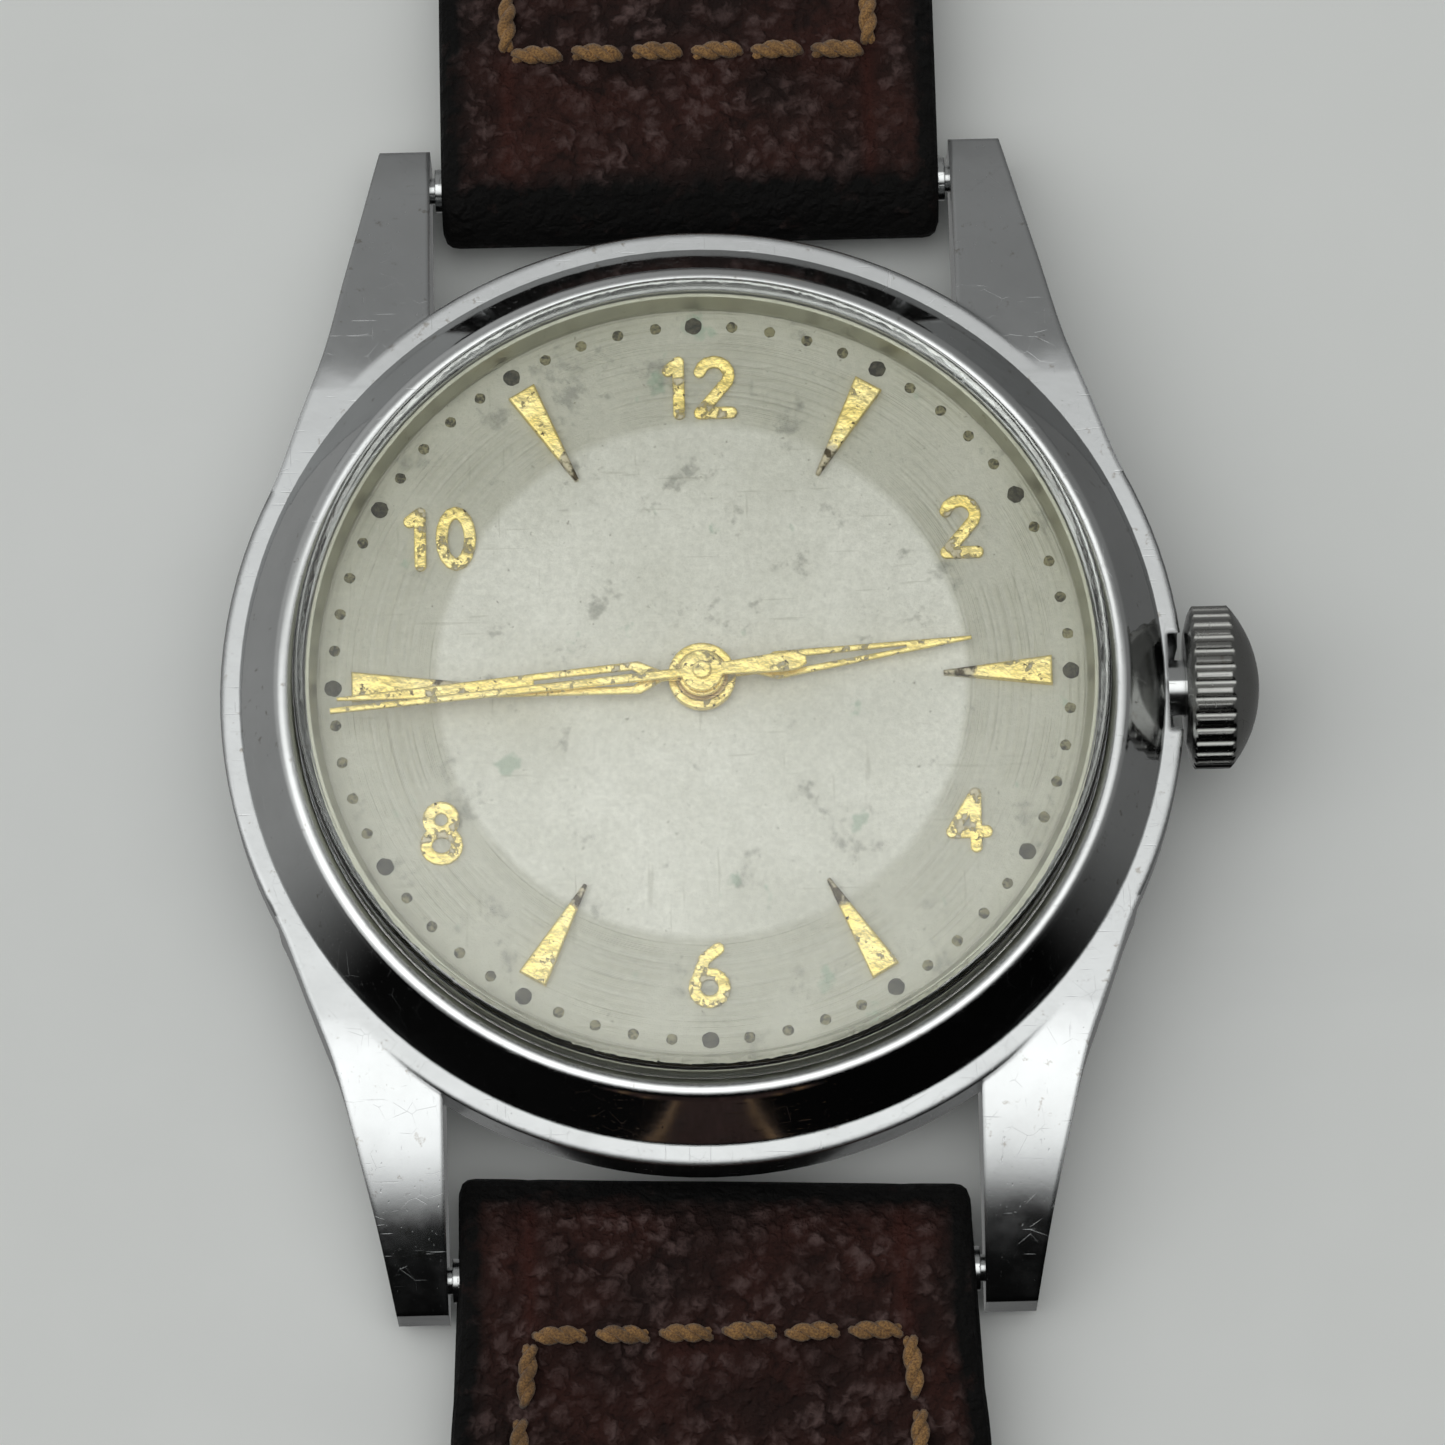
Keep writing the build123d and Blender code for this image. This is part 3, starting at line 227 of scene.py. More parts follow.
# ---- dial --------------------------------------------------------------------------
def radius_mm(t):
    """Distance from the centre of the dial, in millimetres."""
    flat = t.add("ShaderNodeVectorMath", {0: t.place(), 1: (1, 1, 0)}, operation="MULTIPLY")
    return t.add("ShaderNodeVectorMath", {0: flat.outputs[0]}, operation="LENGTH").outputs["Value"]


def dial_paint(name):
    """Silvered and aged: a matt centre, a turned outer zone, stains, specks and scratches."""
    t = Tree(name)
    here = t.place()
    r = radius_mm(t)
    wobble = t.math("MULTIPLY", t.noise(here, 0.5), 0.25)
    outside = t.remap(t.math("ADD", r, wobble), 8.85, 9.2)
    turning = {"Scale": 5.0, "Detail": 3.0, "W": r}
    ring = t.add("ShaderNodeTexNoise", turning, noise_dimensions="1D").outputs[0]
    patchy = t.remap(t.noise(here, 0.45, 4.0), 0.38, 0.62)
    grooves = t.math("MULTIPLY", t.math("MULTIPLY", t.remap(ring, 0.35, 0.65), patchy), outside)
    base = t.mix(outside, (0.80, 0.79, 0.745), (0.56, 0.55, 0.485))
    base = t.mix(t.math("MULTIPLY", grooves, 0.4), base, (0.42, 0.41, 0.31))
    cloud = t.remap(t.noise(here, 0.15, 5.0), 0.35, 0.68)
    base = t.mix(t.math("MULTIPLY", cloud, 0.55), base, (0.50, 0.495, 0.425))
    rim = t.remap(r, 11.9, 13.0)
    base = t.mix(t.math("MULTIPLY", rim, 0.35), base, (0.36, 0.35, 0.26))
    blots = t.remap(t.noise(here, 0.62, 8.0, 0.66), 0.60, 0.69)
    base = t.mix(t.math("MULTIPLY", blots, 0.6), base, (0.22, 0.22, 0.20))
    green = t.math("MULTIPLY", t.remap(t.noise(t.place((1.2, 1, 1), (0, 0, 1.1)), 0.5, 6.0), 0.67, 0.72), 0.5)
    base = t.mix(green, base, (0.24, 0.38, 0.28))
    specks = t.remap(t.noise(here, 2.6, 6.0, 0.78), 0.635, 0.675)
    base = t.mix(t.math("MULTIPLY", specks, 0.75), base, (0.12, 0.11, 0.07))
    hairs = scratches(t, 5.0, 0.06, 0.69, 0.73)
    base = t.mix(t.math("MULTIPLY", hairs, 0.25), base, (0.28, 0.27, 0.20))
    grit = t.remap(t.noise(here, 5.0, 4.0, 0.75), 0.35, 0.65)
    base = t.mix(t.math("MULTIPLY", grit, 0.28), base, (0.30, 0.30, 0.26))
    roughness = t.remap(outside, 0, 1, 0.52, 0.42)
    height = t.math("ADD", t.math("MULTIPLY", grit, 0.3), t.math("MULTIPLY", grooves, 1.1))
    height = t.math("SUBTRACT", height, t.math("MULTIPLY", blots, 0.6))
    return t.finish(Base_Color=base, Metallic=0.1, Roughness=roughness, Normal=t.bump(height, 0.8, 0.05))


def dot_paint(name, light, dark):
    t = Tree(name)
    here = t.place()
    colour = t.mix(t.remap(t.noise(here, 5.0, 6.0, 0.7), 0.42, 0.58), dark, light)
    return t.finish(Base_Color=colour, Roughness=t.remap(t.noise(here, 9.0), 0.3, 0.7, 0.5, 0.8),
                    Normal=t.bump(t.noise(here, 7.0), 0.5, 0.03))


# ---- glass, leather, thread --------------------------------------------------------
def acrylic(name):
    """Clear, faintly scratched; light falls straight through to the dial."""
    t = Tree(name)
    here = t.place()
    lines = scratches(t, 4.0, 0.05, 0.72, 0.76)
    haze = t.remap(t.noise(here, 0.6), 0.3, 0.8, 0.0, 0.02)
    roughness = t.math("ADD", t.math("MULTIPLY", lines, 0.06), haze)
    colour = t.mix(t.noise(here, 0.3), (0.985, 0.99, 0.97), (0.97, 0.98, 0.95))
    normal = t.bump(t.math("MULTIPLY", lines, -1.0), 0.12, 0.01)
    made = t.finish(Base_Color=colour, Roughness=roughness, Transmission_Weight=1.0, IOR=1.49, Normal=normal)
    glass = t.out.inputs[0].links[0].from_socket
    clear = t.add("ShaderNodeBsdfTransparent", {"Color": (0.94, 0.945, 0.925, 1)})
    shadow = t.add("ShaderNodeLightPath").outputs["Is Shadow Ray"]
    both = t.add("ShaderNodeMixShader", {0: shadow, 1: glass, 2: clear.outputs[0]})
    t.tree.links.new(both.outputs[0], t.out.inputs[0])
    return made


def leather(name):
    """Oxblood calf: pebbled grain with worn tops that also carry a painted highlight, painted shade in the
    grain's hollows, black edge paint, painted shade on the folds by the watch, pressed lines.
    """
    t = Tree(name)
    here = t.place()
    warp = t.add("ShaderNodeVectorMath", {0: here, 1: t.noise(here, 1.1, 3.0)}, operation="ADD").outputs[0]
    pebble = t.cells(warp, 1.45, output=0)
    fine = t.cells(warp, 3.6, output=0)
    grain = t.noise(here, 5.0, 8.0, 0.65)
    hollows = t.math("ADD", t.math("MULTIPLY", pebble, 0.8), t.math("MULTIPLY", fine, 0.35))
    height = t.math("SUBTRACT", 1.0, hollows)
    height = t.math("ADD", height, t.math("MULTIPLY", grain, 0.45))
    tops = t.remap(height, 0.62, 0.98)
    region = t.remap(t.noise(here, 0.30, 5.0), 0.36, 0.66)
    base = t.mix(region, (0.024, 0.0105, 0.0085), (0.060, 0.0195, 0.0145))
    # Lighter grain tops: wear, and a painted highlight standing for the sheen on the tops.
    wear_and_sheen = t.math("MULTIPLY", tops, t.remap(t.noise(here, 0.45, 4.0), 0.35, 0.62, 0.15, 0.95))
    base = t.mix(wear_and_sheen, base, (0.165, 0.105, 0.098))
    # Painted shade: the grain's hollows are darkened almost to black.
    hollow_shade = t.remap(height, 0.25, 0.55, 1.0, 0.0)
    base = t.mix(t.math("MULTIPLY", hollow_shade, 0.75), base, (0.012, 0.005, 0.004))
    line = t.attribute("line")
    base = t.mix(t.math("MULTIPLY", line, 0.75), base, (0.075, 0.020, 0.014))
    # edge brings black edge paint on the sides and ends, and painted shade on the folds round the spring bar;
    # both are mixed towards near black here.
    edge = t.attribute("edge")
    uneven = t.remap(t.noise(here, 1.4, 5.0), 0.3, 0.6, 0.7, 1.5)
    edge = t.math("MINIMUM", t.math("MULTIPLY", edge, uneven), 1.0)
    base = t.mix(edge, base, (0.003, 0.0025, 0.0022))
    roughness = t.math("ADD", t.remap(tops, 0, 1, 0.62, 0.42), t.math("MULTIPLY", edge, 0.2))
    normal = t.bump(height, 1.0, 0.42)
    normal = t.bump(grain, 0.5, 0.06, normal)
    return t.finish(Base_Color=base, Roughness=roughness, Specular_IOR_Level=0.25, Normal=normal)


def thread(name):
    t = Tree(name)
    here = t.place()
    fibre = t.noise(here, 14.0, 5.0, 0.6)
    colour = t.mix(t.remap(fibre, 0.35, 0.65), (0.13, 0.055, 0.013), (0.50, 0.27, 0.085))
    grime = t.remap(t.noise(here, 0.9, 4.0), 0.45, 0.68)
    colour = t.mix(t.math("MULTIPLY", grime, 0.6), colour, (0.06, 0.03, 0.012))
    return t.finish(Base_Color=colour, Roughness=t.remap(fibre, 0.3, 0.7, 0.55, 0.8), Sheen_Weight=0.25,
                    Normal=t.bump(fibre, 0.8, 0.08))


def table_top(name):
    t = Tree(name)
    here = t.place()
    colour = t.mix(t.remap(t.noise(here, 0.02, 4.0), 0.3, 0.7), (0.87, 0.885, 0.865), (0.90, 0.91, 0.895))
    marks = t.remap(t.noise(t.place((0.4, 1, 1), (0, 0, 0.6)), 0.12, 6.0), 0.6, 0.75)
    colour = t.mix(t.math("MULTIPLY", marks, 0.3), colour, (0.82, 0.83, 0.82))
    return t.finish(Base_Color=colour, Roughness=t.remap(t.noise(here, 0.3), 0.3, 0.7, 0.5, 0.7),
                    Normal=t.bump(t.noise(here, 2.0, 6.0), 0.15, 0.05))


# ---- mesh helpers ------------------------------------------------------------------
def mesh_object(name, verts, faces, material, smooth=True):
    mesh = bpy.data.meshes.new(name)
    mesh.from_pydata([tuple(v) for v in verts], [], faces)
    mesh.validate()
    if smooth:
        turned = bmesh.new()
        turned.from_mesh(mesh)
        bmesh.ops.recalc_face_normals(turned, faces=turned.faces)
        turned.to_mesh(mesh)
        turned.free()
    mesh.update()
    made = bpy.data.objects.new(name, mesh)
    bpy.context.scene.collection.objects.link(made)
    mesh.materials.append(material)
    if smooth:
        mesh.shade_smooth()
    return made


def tube_mesh(path, radius, sides, verts, faces, flat=1.0):
    """Adds a closed round tube along a path to vertex and face lists."""
    start = len(verts)
    count = len(path)
    for i, point in enumerate(path):
        ahead = path[min(i + 1, count - 1)] - path[max(i - 1, 0)]
        ahead = ahead.normalized()
        side = ahead.cross(Vector((0, 0, 1)))
        side = side.normalized() if side.length > 1e-6 else Vector((1, 0, 0))
        up = side.cross(ahead)
        taper = radius(i / (count - 1)) if callable(radius) else radius
        for k in range(sides):
            turn = 2 * math.pi * k / sides
            verts.append(point + taper * (math.cos(turn) * side + flat * math.sin(turn) * up))
    for i in range(count - 1):
        for k in range(sides):
            a = start + i * sides + k
            b = start + i * sides + (k + 1) % sides
            faces.append((a, b, b + sides, a + sides))
    faces.append([start + k for k in reversed(range(sides))])
    faces.append([start + (count - 1) * sides + k for k in range(sides)])


# ---- strap -------------------------------------------------------------------------
LINE_INSET = 2.35 * MM      # pressed lines and side stitching, in from the edge
EDGE_ROUND = 0.5 * MM


def smooth_step(value, low, high):
    x = min(max((value - low) / (high - low), 0.0), 1.0)
    return x * x * (3 - 2 * x)


def resample(points, spacing):
    """Points spread evenly along a closed outline."""
    dense = []
    for a, b in zip(points, points[1:] + points[:1]):
        steps = max(1, round((b - a).length / spacing))
        dense += [a.lerp(b, i / steps) for i in range(steps)]
    return dense


def fold_arc(centre, radius, start, end, steps=18):
    """Points round an arc, with its angles in degrees."""
    turns = [math.radians(start + (end - start) * i / steps) for i in range(steps + 1)]
    return [Vector((centre[0] + radius * math.cos(a), centre[1] + radius * math.sin(a))) for a in turns]


def strap_mesh(name, outline, width_at, material, row, fold_shade_until, skew=0.0):
    """A leather strap: the side outline (out along the strap, up) swept across its width.

    row is where the cross row of stitching lies, out from the spring bar."""
    loop = resample(outline, 0.42 * MM)
    count = len(loop)
    normals = []
    for i in range(count):
        along = loop[(i + 1) % count] - loop[i - 1]
        normals.append(Vector((along.y, -along.x)).normalized())
    centre_area = sum(a.x * b.y - b.x * a.y for a, b in zip(loop, loop[1:] + loop[:1]))
    if centre_area < 0:
        normals = [-n for n in normals]
    shares = [0.0, 0.12, 0.3, 0.55, 0.85, 1.2, 1.6, 2.0, 2.35, 2.7, 3.1, 3.6]
    half_count = 12
    verts, faces, edge, line = [], [], [], []
    stations = [(-1, s * MM) for s in shares]
    stations += [(0, i / half_count) for i in range(-half_count + 4, half_count - 3)]
    stations += [(1, s * MM) for s in reversed(shares)]
    for kind, value in stations:
        for i in range(count):
            out = loop[i].x
            half = width_at(out)
            x = kind * (half - value) if kind else value * (half - 3.6 * MM) * half_count / (half_count - 4)
            inset = half - abs(x)
            shrink = EDGE_ROUND * (1 - math.sqrt(max(0.0, 1 - max(0.0, 1 - inset / EDGE_ROUND) ** 2)))
            top = normals[i].y
            groove = math.exp(-((inset - LINE_INSET) / (0.28 * MM)) ** 2)
            reach = smooth_step(out, row + 0.5 * MM, row - 0.5 * MM) if top > 0 else 0.0
            dent = groove * 0.10 * MM * max(top, 0.0)
            ripple = 0.05 * MM * math.sin(out * 900 + x * 300) * math.sin(x * 520 - out * 140)
            point = loop[i] - normals[i] * (shrink + dent - ripple * max(top, 0.0))
            verts.append((x, point.x + skew * x * smooth_step(out, 6 * MM, 0.0), max(point.y, 0.03 * MM)))
            # The edge value holds black edge paint along the sides (border) and on the cut ends, plus painted
            # shade on the fold round the spring bar (fold, out to the given limit) and on upright fold faces.
            fold = smooth_step(out, fold_shade_until, fold_shade_until - 1.2 * MM)
            border = smooth_step(inset, 1.15 * MM, 0.35 * MM)
            edge.append(max(border, fold, smooth_step(abs(top), 0.35, 0.0) * 0.9))
            line.append(groove * reach)
    columns = len(stations)
    for j in range(columns - 1):
        for i in range(count):
            a, b = j * count + i, j * count + (i + 1) % count
            faces.append((a, b, b + count, a + count))
    faces.append(list(reversed(range(count))))
    faces.append([(columns - 1) * count + i for i in range(count)])
    made = mesh_object(name, verts, faces, material)
    for key, values in (("edge", edge), ("line", line)):
        made.data.attributes.new(key, "FLOAT", "POINT").data.foreach_set("value", values)
    return made


def place_strap(made, origin, side):
    """Turns a strap drawn outwards along +Y to lie on the twelve or six o'clock side of the watch."""
    turn = Matrix.Identity(4) if side > 0 else Matrix.Rotation(math.pi, 4, "Z")
    made.data.transform(Matrix.Translation((0, origin.y, 0)) @ turn)


def top_height(outline, out):
    """Height of a strap's upper surface at a distance out from the spring bar."""
    upper = [p for p in outline if p.y > 0.9 * MM]
    upper.sort(key=lambda p: p.x)
    for a, b in zip(upper, upper[1:]):
        if a.x <= out <= b.x and b.x > a.x:
            return a.y + (b.y - a.y) * (out - a.x) / (b.x - a.x)
    return upper[-1].y


def stitch(verts, faces, start, end, height, lift=0.20 * MM, thick=0.21 * MM):
    """One stitch: two strands twisted together that dive into the leather at both ends."""
    span = end - start
    steps = 14
    for strand in (0, math.pi):
        path = []
        for i in range(steps + 1):
            s = i / steps
            rise = lift * math.sin(math.pi * s) ** 0.5 - 0.22 * MM * (abs(2 * s - 1) ** 6)
            ahead = span.normalized()
            side = Vector((-ahead.y, ahead.x, 0))
            twist = strand + 2 * math.pi * 1.35 * s
            centre = Vector((start.x + span.x * s, start.y + span.y * s, height(start + span * s) + rise))
            path.append(centre + 0.13 * MM * (math.cos(twist) * side + math.sin(twist) * Vector((0, 0, 1))))
        tube_mesh(path, lambda s: thick * (0.72 + 0.28 * math.sin(math.pi * s)), 7, verts, faces)


def sew(name, outline, width_at, row, last, origin, side, material, body):
    """A cross row near the watch, then a row down each side."""
    verts, faces = [], []

    def height(point):
        return top_height(outline, point.y)

    half = width_at(row) - LINE_INSET
    across = 6
    step = 2 * half / across
    for i in range(across):
        a = Vector((-half + i * step + 0.22 * MM, row + rng.uniform(-0.1, 0.1) * MM, 0))
        b = Vector((-half + (i + 1) * step - 0.22 * MM, row + rng.uniform(-0.12, 0.12) * MM, 0))
        stitch(verts, faces, a, b, height)
    pitch = 2.45 * MM
    count = int((last - row) / pitch)
    for flank in (-1, 1):
        for i in range(count):
            y0 = row + i * pitch + 0.2 * MM
            y1 = y0 + pitch - 0.5 * MM
            a = Vector((flank * (width_at(y0) - LINE_INSET) + rng.uniform(-0.08, 0.08) * MM, y0, 0))
            b = Vector((flank * (width_at(y1) - LINE_INSET) + rng.uniform(-0.08, 0.08) * MM, y1, 0))
            stitch(verts, faces, a, b, height)
    made = mesh_object(name, verts, faces, material)
    place_strap(made, origin, side)
    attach(made, body)
    return made


def upper_width(out):
    y = bar_12.y + out
    wide, narrow = 8.6 * MM, 8.0 * MM
    return wide + (narrow - wide) * smooth_step(y, 24 * MM, 78 * MM)


def lower_width(out):
    y = -bar_6.y + out
    wide, narrow = (8.6 + 0.45 * smooth_step(out, 1.0 * MM, 7.0 * MM)) * MM, 7.7 * MM
    if y < 126 * MM:
        return wide + (narrow - wide) * smooth_step(y, 24 * MM, 90 * MM)
    share = min((y - 126 * MM) / (-lower_box[0].y - 126 * MM), 1.0)
    return max(narrow * math.sqrt(max(1 - share ** 2.2, 0.0)), 0.9 * MM)


def outline_between(bar, top, under, near_r, far=None, loose=0.0):
    """Side outline of a strap, measured out from its spring bar, anticlockwise from the underside.

    loose is how far the fold stands off its bar towards the case."""
    points = fold_arc((0, bar.z), near_r, 270, 90)
    points = [Vector((p.x * (1 + loose / near_r), p.y)) for p in points]
    points += [Vector(p) * MM for p in top]
    if far:
        points += fold_arc(far[0], far[1], 90, -90, 12)
    points += [Vector(p) * MM for p in under]
    return points


leather_mat = leather("strap_leather")
thread_mat = thread("strap_thread")
FOLD_R = 2.02 * MM
upper_far = (buckle_bar.y - bar_12.y, buckle_bar.z)
upper_outline = outline_between(
    bar_12,
    [(2.0, 4.02), (4.8, 3.80), (8.0, 3.45), (14, 3.22), (40.8, 3.1), (64.8, 3.25), (72.0, 3.5)],
    [(72.0, 1.08), (31.0, 1.06), (20.8, 0.06), (3.0, 0.06)],
    FOLD_R, (upper_far, 1.23 * MM),
)
tail_reach = -(lower_box[0].y - bar_6.y) / MM
lower_outline = outline_between(
    bar_6,
    [(2.0, 3.98), (4.8, 3.66), (8.0, 3.2), (12.0, 2.95), (40.8, 2.5),
     (tail_reach - 0.5, 2.3), (tail_reach - 0.05, 1.9)],
    [(tail_reach - 0.05, 0.4), (tail_reach - 0.5, 0.06), (3.0, 0.06)],
    FOLD_R, loose=1.15 * MM,
)
upper_row, lower_row = 4.3 * MM, 2.4 * MM
upper = strap_mesh("strap_leather_12", upper_outline, upper_width, leather_mat, upper_row, 0.2 * MM)
place_strap(upper, bar_12, 1)
lower = strap_mesh(
    "strap_leather_6", lower_outline, lower_width, leather_mat, lower_row, -1.5 * MM, skew=-0.035,
)
place_strap(lower, bar_6, -1)


def cut(target, cutters):
    """Takes cutter meshes out of a piece."""
    for cutter in cutters:
        tool = target.modifiers.new("cut", "BOOLEAN")
        tool.object = cutter
        tool.solver = "EXACT"
        bpy.context.view_layer.objects.active = target
        bpy.ops.object.modifier_apply(modifier="cut")
        bpy.data.objects.remove(cutter)


def rod(name, radius, start, end, sides=24):
    verts, faces = [], []
    tube_mesh([start, end], radius, sides, verts, faces)
    return mesh_object(name, verts, faces, leather_mat)


HOLE_COUNT, FIRST_HOLE_Y, HOLE_PITCH, HOLE_R = 7, -82.0 * MM, 6.5 * MM, 0.85 * MM
CUT_LOW, CUT_HIGH = -1 * MM, 8 * MM
holes = []
for i in range(HOLE_COUNT):
    y = FIRST_HOLE_Y - HOLE_PITCH * i
    holes.append(rod(f"hole_{i}", HOLE_R, Vector((0, y, CUT_LOW)), Vector((0, y, CUT_HIGH))))
cut(lower, holes)
slot_verts = [
    (x * 1.4 * MM, (91.5 + 5.5 * y) * MM, (-1 + 7 * z) * MM)
    for x in (-1, 1) for y in (0, 1) for z in (0, 1)
]
slot_faces = [(0, 1, 3, 2), (4, 6, 7, 5), (0, 4, 5, 1), (2, 3, 7, 6), (0, 2, 6, 4), (1, 5, 7, 3)]
cut(upper, [mesh_object("tongue_slot", slot_verts, slot_faces, leather_mat)])
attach(upper, "strap_upper")
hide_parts("strap_12")
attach(lower, "strap_lower")
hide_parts("strap_6")
upper_thread = sew(
    "stitching_12", upper_outline, upper_width, upper_row, 72 * MM, bar_12, 1, thread_mat, "strap_upper",
)
lower_thread = sew(
    "stitching_6", lower_outline, lower_width, lower_row, 106 * MM, bar_6, -1, thread_mat, "strap_lower",
)


def keeper_loop(name, node, body):
    """A leather loop bent round the strap: a flat band with rounded edges, closed on itself."""
    low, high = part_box(node)
    wall, round_r = 0.45 * MM, 1.5 * MM
    centre_y = (low.y + high.y) / 2
    half_x, half_y = high.x - wall, (high.y - low.y) / 2
    floor_z, roof_z = max(low.z, 0) + wall, high.z - wall
    reach, low_z, high_z = half_x - round_r, floor_z + round_r, roof_z - round_r
    path = []
    corners = ((reach, low_z, 270), (reach, high_z, 0), (-reach, high_z, 90), (-reach, low_z, 180))
    for cx, cz, start in corners:
        path += fold_arc((cx, cz), round_r, start, start + 90, 10)
    path = resample(path, 0.5 * MM)
    count = len(path)
    ring = 20
    verts, faces, edge = [], [], []
    for i, point in enumerate(path):
        along = (path[(i + 1) % count] - path[i - 1]).normalized()
        outward = Vector((along.y, -along.x))
        bow = 0.06 * MM * math.sin(i * 0.9)
        for k in range(ring):
            turn = 2 * math.pi * k / ring
            c, d = math.cos(turn), math.sin(turn)
            across = math.copysign(abs(c) ** 0.35, c) * half_y
            thick = math.copysign(abs(d) ** 0.55, d) * wall
            verts.append((point.x + outward.x * thick, centre_y + across + bow, point.y + outward.y * thick))
            edge.append(smooth_step(abs(across) / half_y, 0.86, 0.97))
    for i in range(count):
        for k in range(ring):
            a, b = i * ring + k, i * ring + (k + 1) % ring
            c, d = (i + 1) % count * ring + (k + 1) % ring, (i + 1) % count * ring + k
            faces.append((a, b, c, d))
    made = mesh_object(name, verts, faces, leather_mat)
    made.data.attributes.new("edge", "FLOAT", "POINT").data.foreach_set("value", edge)
    made.data.attributes.new("line", "FLOAT", "POINT").data.foreach_set("value", [0.0] * len(verts))
    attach(made, body)
    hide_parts(node)


keeper_loop("keeper_leather_fixed", "fixed_keeper", "strap_upper")
keeper_loop("keeper_leather_free", "free_keeper", "free_keeper")


# ---- dial: dots --------------------------------------------------------------------
DOT_CIRCLE_R = 12.33 * MM


def dots(name, minutes, radius, material):
    """Printed dots on the minute circle, each a little uneven."""
    verts, faces = [], []
    for minute in minutes:
        angle = math.radians(90 - 6 * minute)
        cx, cy = DOT_CIRCLE_R * math.cos(angle), DOT_CIRCLE_R * math.sin(angle)
        start = len(verts)
        verts.append((cx, cy, dial_top + 0.03 * MM))
        sides = 18
        for k in range(sides):
            turn = 2 * math.pi * k / sides
            r = radius * (1 + rng.uniform(-0.07, 0.07))
            verts.append((cx + r * math.cos(turn), cy + r * math.sin(turn), dial_top + 0.012 * MM))
        faces += [(start, start + 1 + k, start + 1 + (k + 1) % sides) for k in range(sides)]
    made = mesh_object(name, verts, faces, material)
    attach(made, "case")
    return made


hour_paint = dot_paint("hour_dot_paint", (0.07, 0.065, 0.04), (0.02, 0.018, 0.012))
dots("hour_dots", range(0, 60, 5), 0.29 * MM, hour_paint)
minute_paint = dot_paint("minute_dot_paint", (0.24, 0.22, 0.12), (0.03, 0.027, 0.016))
dots("minute_dots", [m for m in range(60) if m % 5], 0.19 * MM, minute_paint)

# ---- finishes of the CAD nodes -----------------------------------------------------
GILT = ("hour_markers", "hour_numerals", "hour_hand", "minute_hand", "second_hand")
BRASS = ("main_plate", "barrel_bridge", "train_bridge", "pallet_cock", "balance_cock", "barrel",
         "barrel_cover", "centre_wheel", "third_wheel", "seconds_wheel", "balance_wheel", "minute_wheel",
         "hour_wheel")
SPECIAL = {
    "dial": dial_paint("dial_silver"),
    "crystal": acrylic("crystal_acrylic"),
    "case_back_gasket": rubber("gasket_rubber"),
    "jewels": ruby("jewel_ruby"),
    "mainspring": blued("blued_mainspring"),
    "hairspring": blued("blued_hairspring"),
    "bezel": steel("bezel_polish", base=(0.74, 0.75, 0.75), rough=0.05, wear=0.04, line=0.006, edge=0.16),
    # Painted shade: the crown is the case's steel, its colour darkened to stand for the dark surroundings it
    # reflects.
    "crown": steel("crown_steel_painted_dark", base=(0.36, 0.36, 0.345), dark=(0.13, 0.125, 0.11), rough=0.16,
                   wear=0.10, line=0.02, edge=0.1),
    "mid_case": steel("case_steel", base=(0.60, 0.61, 0.615), rough=0.14, wear=0.07, line=0.010, edge=0.22),
    "buckle_frame": steel("buckle_polish", base=(0.68, 0.68, 0.67), rough=0.12, wear=0.16, line=0.02),
    "buckle_tongue": steel("tongue_polish", base=(0.68, 0.68, 0.67), rough=0.12, wear=0.16, line=0.02),
}
steel_mat = steel("movement_steel")
brass_mat = brass("movement_brass")
gilt_mat = gilt("gilt_worn")
SPECIAL["hour_markers"] = gilt("gilt_markers", loss=0.60, bare_below=9.0)
SPECIAL["hour_numerals"] = gilt("gilt_numerals", loss=0.54)
SPECIAL["tension_ring"] = steel("ring_aged", base=(0.50, 0.50, 0.42), dark=(0.26, 0.26, 0.20),
                                rough=0.34, wear=0.2)
for name, piece in nodes.items():
    chosen = SPECIAL.get(name) or (gilt_mat if name in GILT else brass_mat if name in BRASS else steel_mat)
    piece.data.materials.clear()
    piece.data.materials.append(chosen)

# ---- table, light and camera -------------------------------------------------------
TABLE_HALF, TABLE_Z = 1.5, -0.0002
table_corners = [(x * TABLE_HALF, y * TABLE_HALF, TABLE_Z) for x, y in ((-1, -1), (1, -1), (1, 1), (-1, 1))]
floor = mesh_object("table", table_corners, [(0, 1, 2, 3)], table_top("table_surface"), smooth=False)
floor.visible_glossy = False

world = bpy.data.worlds.new("room")
bpy.context.scene.world = world
world.use_nodes = True
room = world.node_tree
sky = room.nodes["Background"]
where = room.nodes.new("ShaderNodeTexCoord")
split = room.nodes.new("ShaderNodeSeparateXYZ")
room.links.new(where.outputs["Generated"], split.inputs[0])


def room_ramp(value, low, high, dark, bright):
    """A smooth change of brightness from one end of a range to the other."""
    ramp = room.nodes.new("ShaderNodeMapRange")
    ramp.interpolation_type = "SMOOTHSTEP"
    for i, limit in enumerate((low, high, dark, bright), 1):
        ramp.inputs[i].default_value = limit
    room.links.new(value, ramp.inputs[0])
    return ramp.outputs[0]


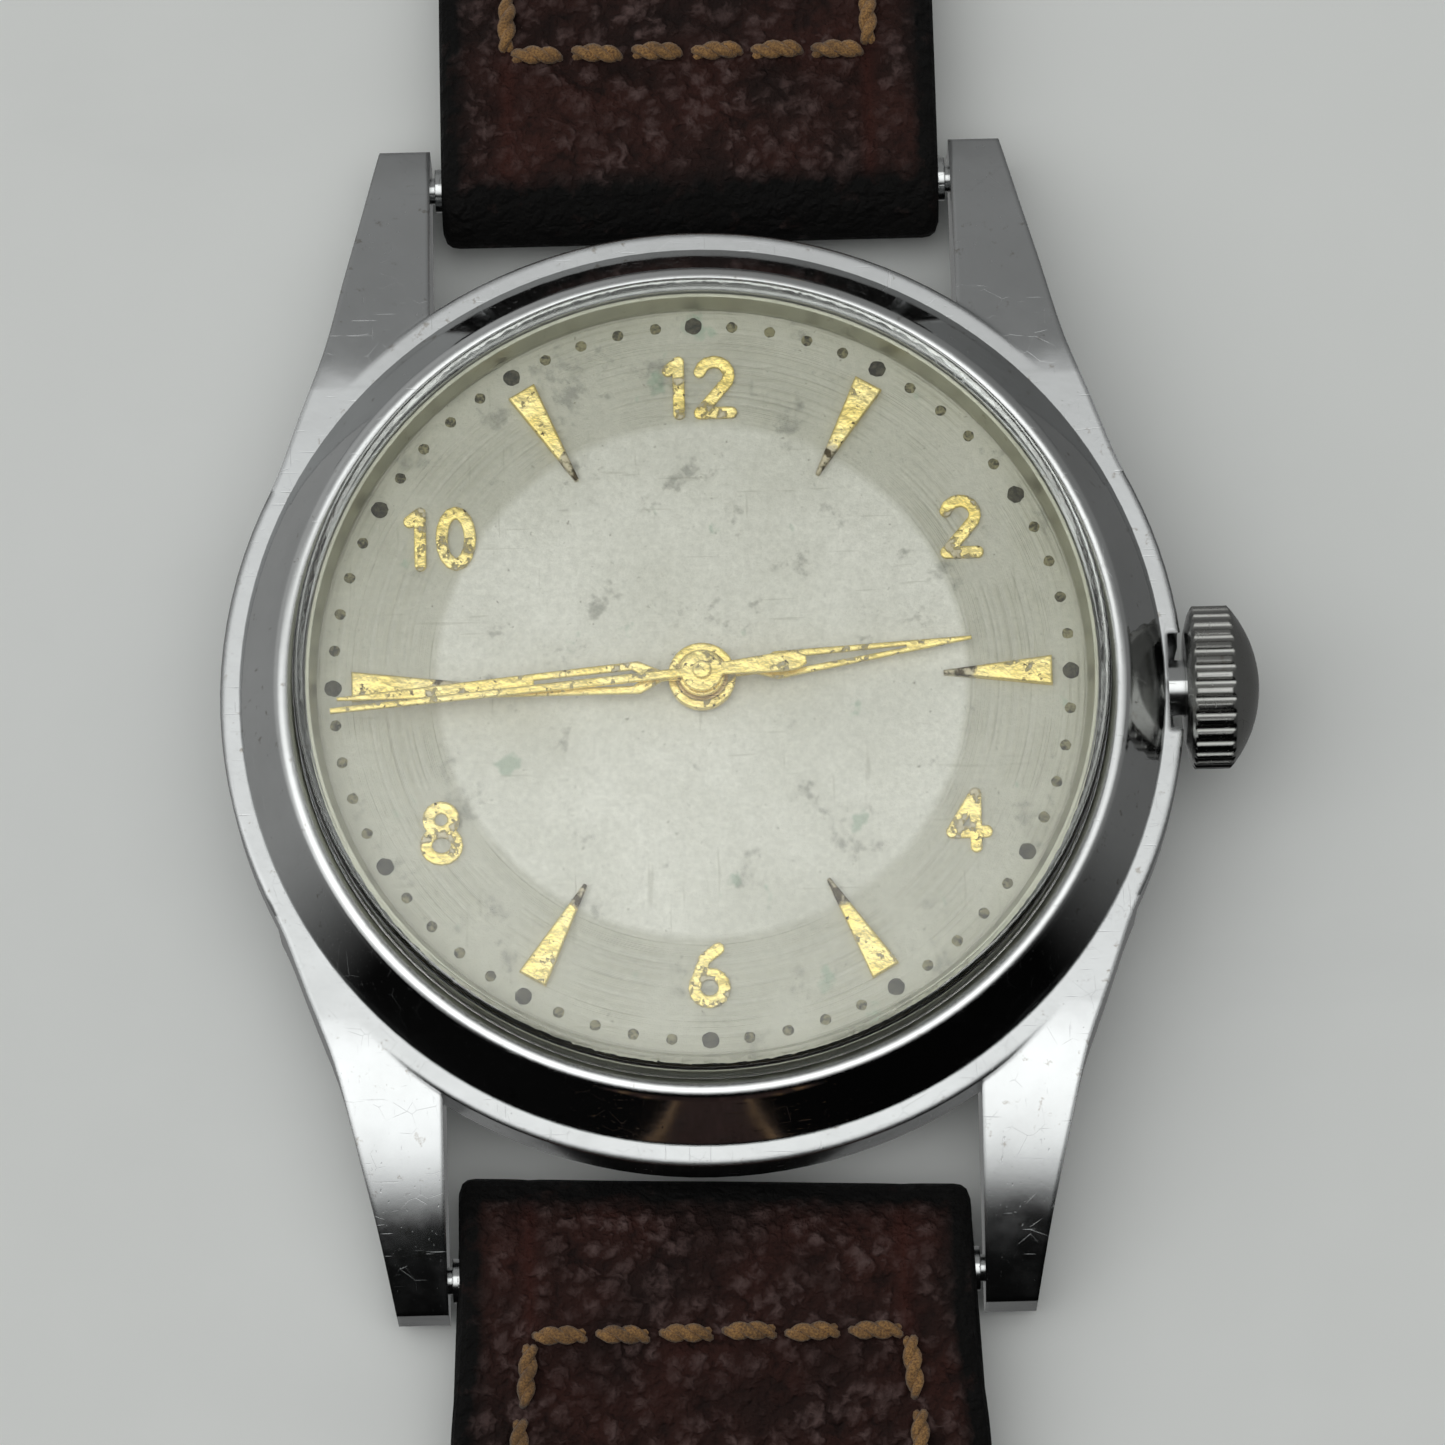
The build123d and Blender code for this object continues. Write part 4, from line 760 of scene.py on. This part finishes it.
def room_math(operation, a, b):
    """One sum on world values or numbers."""
    made = room.nodes.new("ShaderNodeMath")
    made.operation = operation
    for socket, value in zip(made.inputs, (a, b)):
        if isinstance(value, bpy.types.NodeSocket):
            room.links.new(value, socket)
        else:
            socket.default_value = value
    return made.outputs[0]


def room_square(axis, centre, reach):
    """How far a direction lies from a centre along one axis, squared, as a share of reach."""
    offset = room_math("DIVIDE", room_math("SUBTRACT", split.outputs[axis], centre), reach)
    return room_math("MULTIPLY", offset, offset)


behind = room_ramp(split.outputs["Y"], -0.50, -0.05, 0.01, 1.0)
sides = room_ramp(split.outputs["X"], -0.7, 0.5, 1.15, 0.55)
level = room_ramp(split.outputs["Z"], -0.3, 0.2, 0.24, 0.36)
walls = room_math("MULTIPLY", room_math("MULTIPLY", behind, sides), level)
spread = room_math("ADD", room_square("X", -0.12, 0.86), room_square("Y", -0.12, 0.50))
overhead = room_ramp(split.outputs["Z"], 0.3, 0.6, 0.0, 1.0)
window = room_math("MULTIPLY", room_ramp(spread, 1.15, 0.1, 0.0, 1.45), overhead)
room.links.new(room_math("ADD", walls, window), sky.inputs[1])
sky.inputs[0].default_value = (0.985, 1.0, 0.99, 1)

target = Vector((0.658, -0.734, 4.6)) * MM
elevation, azimuth, roll = math.radians(75.49), math.radians(-0.63), math.radians(-0.79)
level_part = math.cos(elevation)
back = Vector((math.sin(azimuth) * level_part, -math.cos(azimuth) * level_part, math.sin(elevation)))
right = (-back).cross(Vector((0, 0, 1))).normalized()
up = right.cross(-back)
across = math.cos(roll) * right + math.sin(roll) * up
upward = -math.sin(roll) * right + math.cos(roll) * up
lens = bpy.data.cameras.new("camera")
lens.lens = 204.0
lens.clip_start = 0.01
camera = bpy.data.objects.new("camera", lens)
bpy.context.scene.collection.objects.link(camera)
turn = Matrix((across, upward, back)).transposed().to_4x4()
camera.matrix_world = Matrix.Translation(target + back * 0.2774) @ turn
bpy.context.scene.camera = camera
bpy.context.scene.view_settings.view_transform = "Standard"
